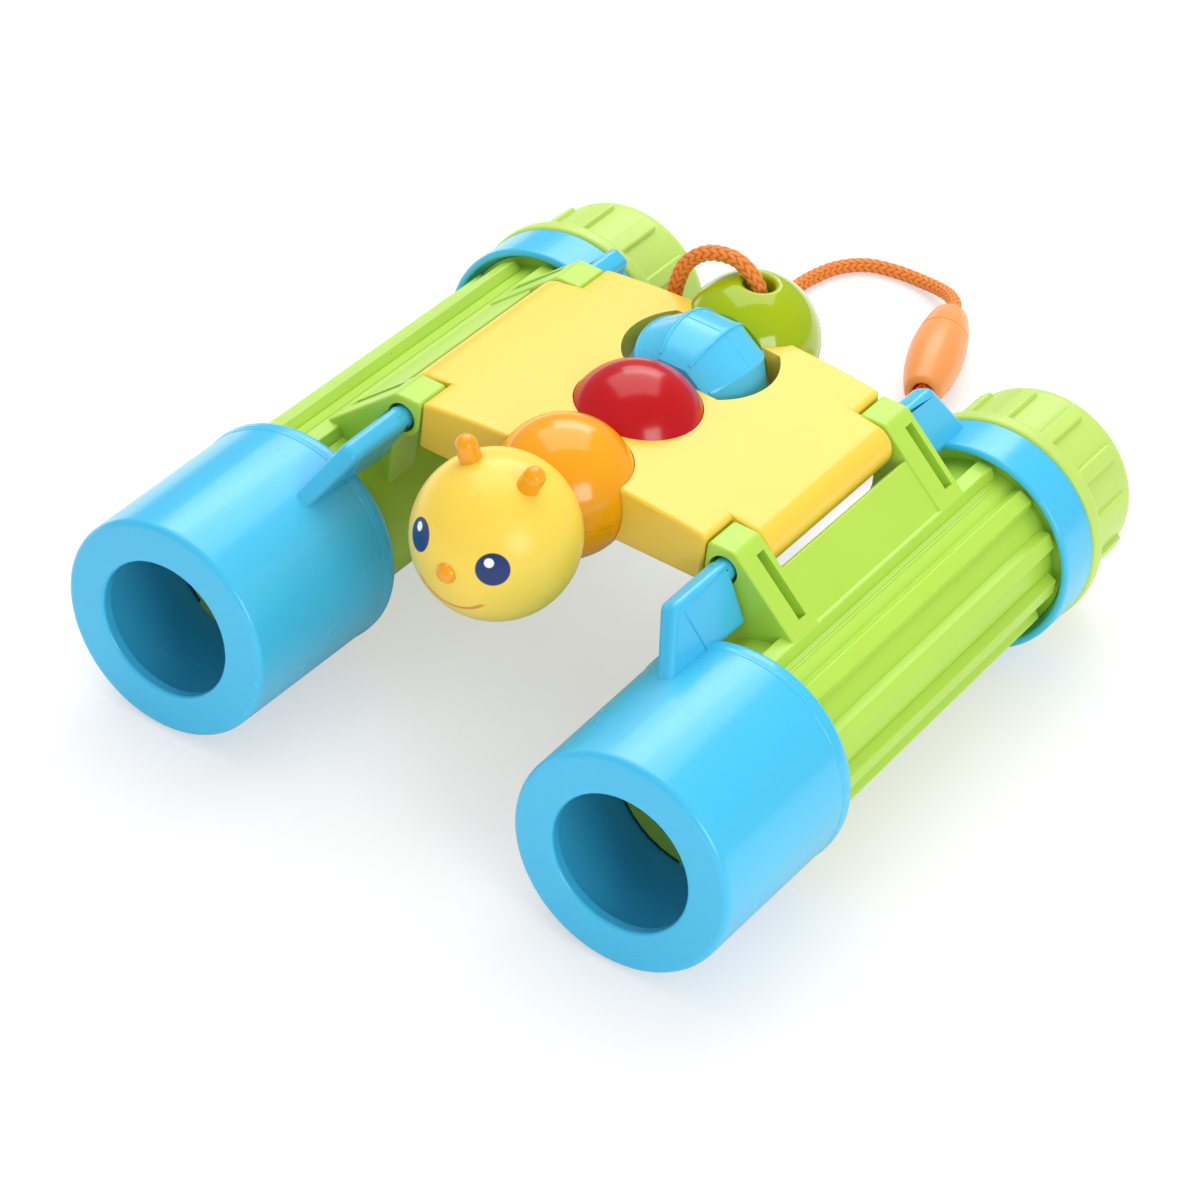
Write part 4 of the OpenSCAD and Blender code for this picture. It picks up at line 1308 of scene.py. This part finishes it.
# Neck cord: from the bead's hole one end goes up in an arch, the other hangs down to the floor and is coiled
CORD_D = 3
SHORT_ROUTE = [
    (0.9, 35, 47), (0.9, 35, 50.3), (0.9, 35, 53.6), (0.35, 35, 56.4), (-1.2, 35, 58.7),
    (-3.55, 35, 60.3), (-6.4, 35, 60.9), (-11, 35, 59.6), (-14.6, 35, 56), (-16.1, 35, 51),
    (-16.4, 35.5, 46), (-15.5, 36, 40.5), (-12.3, 36.5, 34.5), (-8, 37, 29), (-3.8, 39, 23),
    (0, 41.5, 16), (3, 45.5, 9), (5.5, 51.2, 3.9), (6.8, 58, 1.8), (7.2, 65.5, 1.6),
    (7.6, 73, 1.6), (8, 80.5, 2), (8.2, 87, 3.4), (7.6, 93, 5), (5.9, 98.3, 5.5), (4.4, 103, 5.5),
]
LONG_ROUTE = [
    (0.9, 35, 47), (0.9, 35, 41), (0.7, 35, 35), (0.2, 35, 27), (-0.7, 35.3, 19), (-2, 36.3, 11.5),
    (-3.8, 38.5, 5.5), (-5.5, 42.5, 2.3), (-6.8, 48.5, 1.6), (-7.8, 55.5, 1.6), (-8.8, 62.5, 1.6),
    (-10.5, 69, 1.6), (-14.5, 73.6, 1.6), (-20.5, 75.2, 1.7), (-27.5, 75, 1.8), (-34.5, 74.4, 2),
    (-41.5, 74, 2.2), (-48, 73.4, 2.3), (-54, 72.4, 2.3), (-58.2, 72, 2.3), (-61.2, 72, 2.3),
]
LOOP_ROUTE = [
    (-61.2, 104.6, 5.8), (-58.2, 104.6, 5.8), (-54.2, 103.6, 4.9), (-50, 101.6, 3.2),
    (-45.8, 100.6, 1.9), (-41.6, 102, 1.6), (-38.4, 105.8, 1.6), (-36, 111.5, 1.6),
    (-34.7, 118, 1.6), (-34, 124.5, 1.6), (-32, 131.5, 1.6), (-28, 136.5, 1.6), (-22, 138.6, 1.6),
    (-15.5, 138.4, 2), (-10, 136, 3.4), (-6.6, 132.6, 4.9), (-4.4, 129.4, 5.5), (-3, 125.4, 5.5),
    (-1.5, 120.8, 5.5),
]
COIL_TURNS = 1.5
COIL_PITCH = 3.5
COIL_STEPS = 36
ROUTE_STEPS = 8


def coil_route():
    """The stored coil: it winds in, climbs a layer where it turns back, and winds out."""
    start, end = Vector(LONG_ROUTE[-1]), Vector(LOOP_ROUTE[0])
    out_r = (end.y - start.y) / 2
    centre = Vector((start.x - CORD_D, start.y + out_r))
    points = []
    for k in range(COIL_STEPS + 1):
        t = COIL_TURNS * k / COIL_STEPS
        r = out_r - COIL_PITCH * min(t, COIL_TURNS - t)
        a = -QUARTER - TAU * t
        up = min(max((t - COIL_TURNS / 2) / 0.5 + 0.5, 0), 1)
        z = start.z + (end.z - start.z) * up * up * (3 - 2 * up)
        points.append((centre.x + r * math.cos(a), centre.y + r * math.sin(a), z))
    return points


def smooth_route(points):
    """A smooth line through a route's points."""
    spots = [Vector(p) for p in points]
    spots = [2 * spots[0] - spots[1], *spots, 2 * spots[-1] - spots[-2]]
    line = []
    for a, b, c, d in zip(spots, spots[1:], spots[2:], spots[3:]):
        span = (c - b).length
        enter = (c - a).normalized() * span
        leave = (d - b).normalized() * span
        for t in spaced(0, 1, ROUTE_STEPS)[:-1]:
            h = (2 * t**3 - 3 * t**2 + 1, t**3 - 2 * t**2 + t, 3 * t**2 - 2 * t**3, t**3 - t**2)
            line.append(b * h[0] + enter * h[1] + c * h[2] + leave * h[3])
    return [*line, spots[-2]]


# Braid: columns of V stitches in relief round the cord
BRAID_COLUMNS = 5
BRAID_SIDES = 48
BRAID_STEP = 0.2
STITCH_LEN = 1.7
STITCH_RELIEF = 0.38
STITCH_SLANT = 0.75
STITCH_SOFTNESS = 0.6
LEG_SHARE = 0.65


def braid_tree():
    inputs = dict.fromkeys(("Radius", "Step", "Stitch", "Relief"), "Float")
    net, given = new_tree("braid along a cord", {"Line": "Geometry", **inputs}, "Cord")
    line = net.add("GeometryNodeResampleCurve", {"mode": "LENGTH"}, {
        "Curve": given.out("Line"), "Length": given.out("Step"),
    })
    length = net.add("GeometryNodeSplineParameter", out="Length")
    share = net.add("GeometryNodeSplineParameter", out="Factor")
    number = {"data_type": "FLOAT"}

    def kept(geometry, name, value):
        return net.add("GeometryNodeStoreNamedAttribute", {**number, "domain": "POINT"}, {
            "Geometry": geometry, "Name": name, "Value": value,
        })

    def read(name):
        return net.add("GeometryNodeInputNamedAttribute", number, {"Name": name}, out="Attribute")

    circle = net.add("GeometryNodeCurvePrimitiveCircle", {"mode": "RADIUS"}, {
        "Resolution": BRAID_SIDES, "Radius": given.out("Radius"),
    })
    tube = net.add("GeometryNodeCurveToMesh", None, {
        "Curve": kept(line, "along", length),
        "Profile Curve": kept(circle, "around", share),
        "Fill Caps": True,
    })
    column = net.math("FRACT", read("around") * BRAID_COLUMNS)
    off = net.math("ABSOLUTE", column - 0.5) * 2
    wave = read("along") / given.out("Stitch") + STITCH_SLANT * off
    stitch = net.math("ABSOLUTE", net.math("SINE", wave * math.pi))
    leg = net.math("ABSOLUTE", net.math("SINE", off * math.pi))
    relief = net.math("POWER", stitch * (1 - LEG_SHARE + LEG_SHARE * leg), STITCH_SOFTNESS)
    inward = net.add("ShaderNodeVectorMath", {"operation": "SCALE"}, {
        0: net.add("GeometryNodeInputNormal"), "Scale": (read("relief") - 1) * given.out("Relief"),
    })
    raised = net.add("GeometryNodeSetPosition", None, {
        "Geometry": kept(tube, "relief", relief), "Offset": inward,
    })
    return end_tree(net, given, raised, "Cord")


BRAID_TREE = braid_tree()


def cord(name, route, nodes):
    path = [place * MM for place in smooth_route(route)]
    curve = bpy.data.curves.new(name, "CURVE")
    curve.dimensions = "3D"
    spline = curve.splines.new("POLY")
    spline.points.add(len(path) - 1)
    for point, place in zip(spline.points, path):
        point.co = (*place, 1)
    line = bpy.data.objects.new(name + "_line", curve)
    scene.collection.objects.link(line)
    set_inputs(line, BRAID_TREE, {
        "Radius": CORD_D / 2 * MM, "Step": BRAID_STEP * MM, "Stitch": STITCH_LEN * MM,
        "Relief": STITCH_RELIEF * MM, "Material": BRAID,
    })
    mesh = finished_mesh(line)
    bpy.data.objects.remove(line)
    mesh.name = name
    mesh.shade_smooth()
    obj = bpy.data.objects.new(name, mesh)
    scene.collection.objects.link(obj)
    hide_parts(*nodes)
    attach(obj, "bridge")


# Connector in two halves, and the tie of the coil
CONNECTOR_LEN = 28.5
CONNECTOR_R = 5.5
CONNECTOR_END_R = 3.5
CONNECTOR_MOUTH_R = 1.9
CONNECTOR_LIP = 0.6
CONNECTOR_SEAM_EASE = 0.3
TONGUE_R = 2.6
TONGUE_LEN = 5
TONGUE_GAP = 0.05
CONNECTOR_SEAM = 0.2 * CONNECTOR_LEN
TONGUE_END = CONNECTOR_SEAM - TONGUE_LEN
CONNECTOR_SPAN = Vector(LOOP_ROUTE[-1]) - Vector(SHORT_ROUTE[-1])
TIE_T = 0.4
TIE_EDGE = 0.15


def connector_skin(start, end):
    slim = CONNECTOR_END_R - CONNECTOR_R
    return [(CONNECTOR_R + slim * (2 * y / CONNECTOR_LEN) ** 2, y) for y in spaced(start, end, 24)]


def connector_mouth(side):
    """The end of a half, from its skin over the rounded lip to the bottom of the cord's hole."""
    end = CONNECTOR_LEN / 2
    lip = CONNECTOR_END_R - CONNECTOR_LIP
    rounded = [(lip + 0.45, 0.2), (lip, 0), (lip - 0.4, 0.05), (lip - 0.9, 0.5), (CONNECTOR_MOUTH_R, 1.2)]
    bottom = end - CONNECTOR_SPAN.length / 2
    rounded += [(CONNECTOR_MOUTH_R, bottom), (0, bottom)]
    return [(r, side * (end - depth)) for r, depth in rounded]


def at_connector(profile):
    bm = rotated(turned(profile, 64, False), math.atan2(-CONNECTOR_SPAN.x, CONNECTOR_SPAN.y), "Z")
    return moved(bm, *(Vector(SHORT_ROUTE[-1]) + CONNECTOR_SPAN / 2))


def connector_socket():
    skin = connector_skin(CONNECTOR_LIP - CONNECTOR_LEN / 2, CONNECTOR_SEAM - CONNECTOR_SEAM_EASE)
    hole_r = TONGUE_R + TONGUE_GAP
    face = [(skin[-1][0] - CONNECTOR_SEAM_EASE, CONNECTOR_SEAM), (hole_r, CONNECTOR_SEAM)]
    return at_connector([*reversed(connector_mouth(-1)), *skin, *face, (hole_r, TONGUE_END), (0, TONGUE_END)])


def connector_plug():
    skin = connector_skin(CONNECTOR_SEAM + CONNECTOR_SEAM_EASE, CONNECTOR_LEN / 2 - CONNECTOR_LIP)
    face = [(TONGUE_R, CONNECTOR_SEAM), (skin[0][0] - CONNECTOR_SEAM_EASE, CONNECTOR_SEAM)]
    return at_connector([(0, TONGUE_END), (TONGUE_R, TONGUE_END), *face, *skin, *connector_mouth(1)])


def tie_body():
    outer = rectangle(tie_low.x, tie_low.z, tie_high.x, tie_high.z, 1)
    around = extruded(outer, tie_low.y, tie_high.y, TIE_EDGE)
    inner = extruded(inset(outer, TIE_T), tie_low.y - CUT_PAST, tie_high.y + CUT_PAST)
    return cut(around, inner)


socket = piece("connector_tail", connector_socket(), PEACH, "bridge", ["connector_socket"])
plug = piece("connector_nose", connector_plug(), PEACH, "bridge", ["connector_plug"])
tie = piece("cord_tie", tie_body(), BLACK, "bridge", ["coil_tie"])
cord("cord_to_connector", SHORT_ROUTE, ["lanyard_short_cord"])
cord(
    "cord_through_coil", LONG_ROUTE + coil_route() + LOOP_ROUTE,
    ["lanyard_long_cord", "lanyard_coil", "lanyard_loop_cord"],
)


# CAD nodes that keep their shape
def dressed(material, *names):
    for name in names:
        data = frame["nodes"][name].data
        data.materials.clear()
        data.materials.append(material)


for side in ("left", "right"):
    dressed(GLASS, f"{side}_objective_lens", f"{side}_eyepiece_lens")
    dressed(GREEN, f"{side}_objective_ring")
    dressed(BLACK, f"{side}_eyepiece_ring")
dressed(STEEL, "spine_rod")


# Floor and light
FLOOR_WHITE = 0.86
FLOOR_LIFT = 0.5
FLOOR_SHADE = 0.48
FLOOR_HALF = 3000
AMBIENT = 0.8
MIRRORED = 0.3


def floor_material():
    """White ground; where the camera sees it, it has some light of its own, so that the shadow stays pale."""
    material, net = new_material("ground_white")

    def matt(level):
        return net.add("ShaderNodeBsdfDiffuse", None, {"Color": (level, level, level, 1)})

    seen = net.add("ShaderNodeLightPath", out="Is Camera Ray")
    own = net.add("ShaderNodeEmission", None, {"Strength": FLOOR_LIFT})
    both = net.add("ShaderNodeAddShader", None, {0: matt(FLOOR_SHADE), 1: own})
    surface = net.add("ShaderNodeMixShader", None, {0: seen, 1: matt(FLOOR_WHITE), 2: both})
    net.add("ShaderNodeOutputMaterial", None, {"Surface": surface})
    return material


ground_bm = bmesh.new()
bmesh.ops.create_grid(ground_bm, x_segments=8, y_segments=8, size=FLOOR_HALF * MM)
ground = plain_object("ground", ground_bm)
ground.data.materials.append(floor_material())


def softbox(name, place, aim, width, height, power):
    light = bpy.data.objects.new(name, bpy.data.lights.new(name, "AREA"))
    light.data.shape = "RECTANGLE"
    light.data.size = width * MM
    light.data.size_y = height * MM
    light.data.energy = power
    towards = Vector(aim) - Vector(place)
    light.rotation_euler = towards.to_track_quat("-Z", "Y").to_euler()
    light.location = Vector(place) * MM
    scene.collection.objects.link(light)


softbox("key", (-300, 330, 860), aim=(0, 0, 20), width=1000, height=900, power=5)
softbox("back", (-480, 900, 760), aim=(0, 0, 40), width=800, height=460, power=2.7)
softbox("fill", (760, -420, 420), aim=(0, 0, 30), width=420, height=420, power=2.6)

world = bpy.data.worlds.new("studio")
world.use_nodes = True
world.node_tree.nodes.clear()
net = Net(world.node_tree)
ray = net.add("ShaderNodeLightPath", out="Is Camera Ray")
clear = net.math("MAXIMUM", ray, ray.out("Is Transmission Ray"))
strength = AMBIENT + (1 - AMBIENT) * clear - (AMBIENT - MIRRORED) * ray.out("Is Glossy Ray")
backdrop = net.add("ShaderNodeBackground", None, {"Color": (1, 1, 1, 1), "Strength": strength})
net.add("ShaderNodeOutputWorld", None, {"Surface": backdrop})
scene.world = world
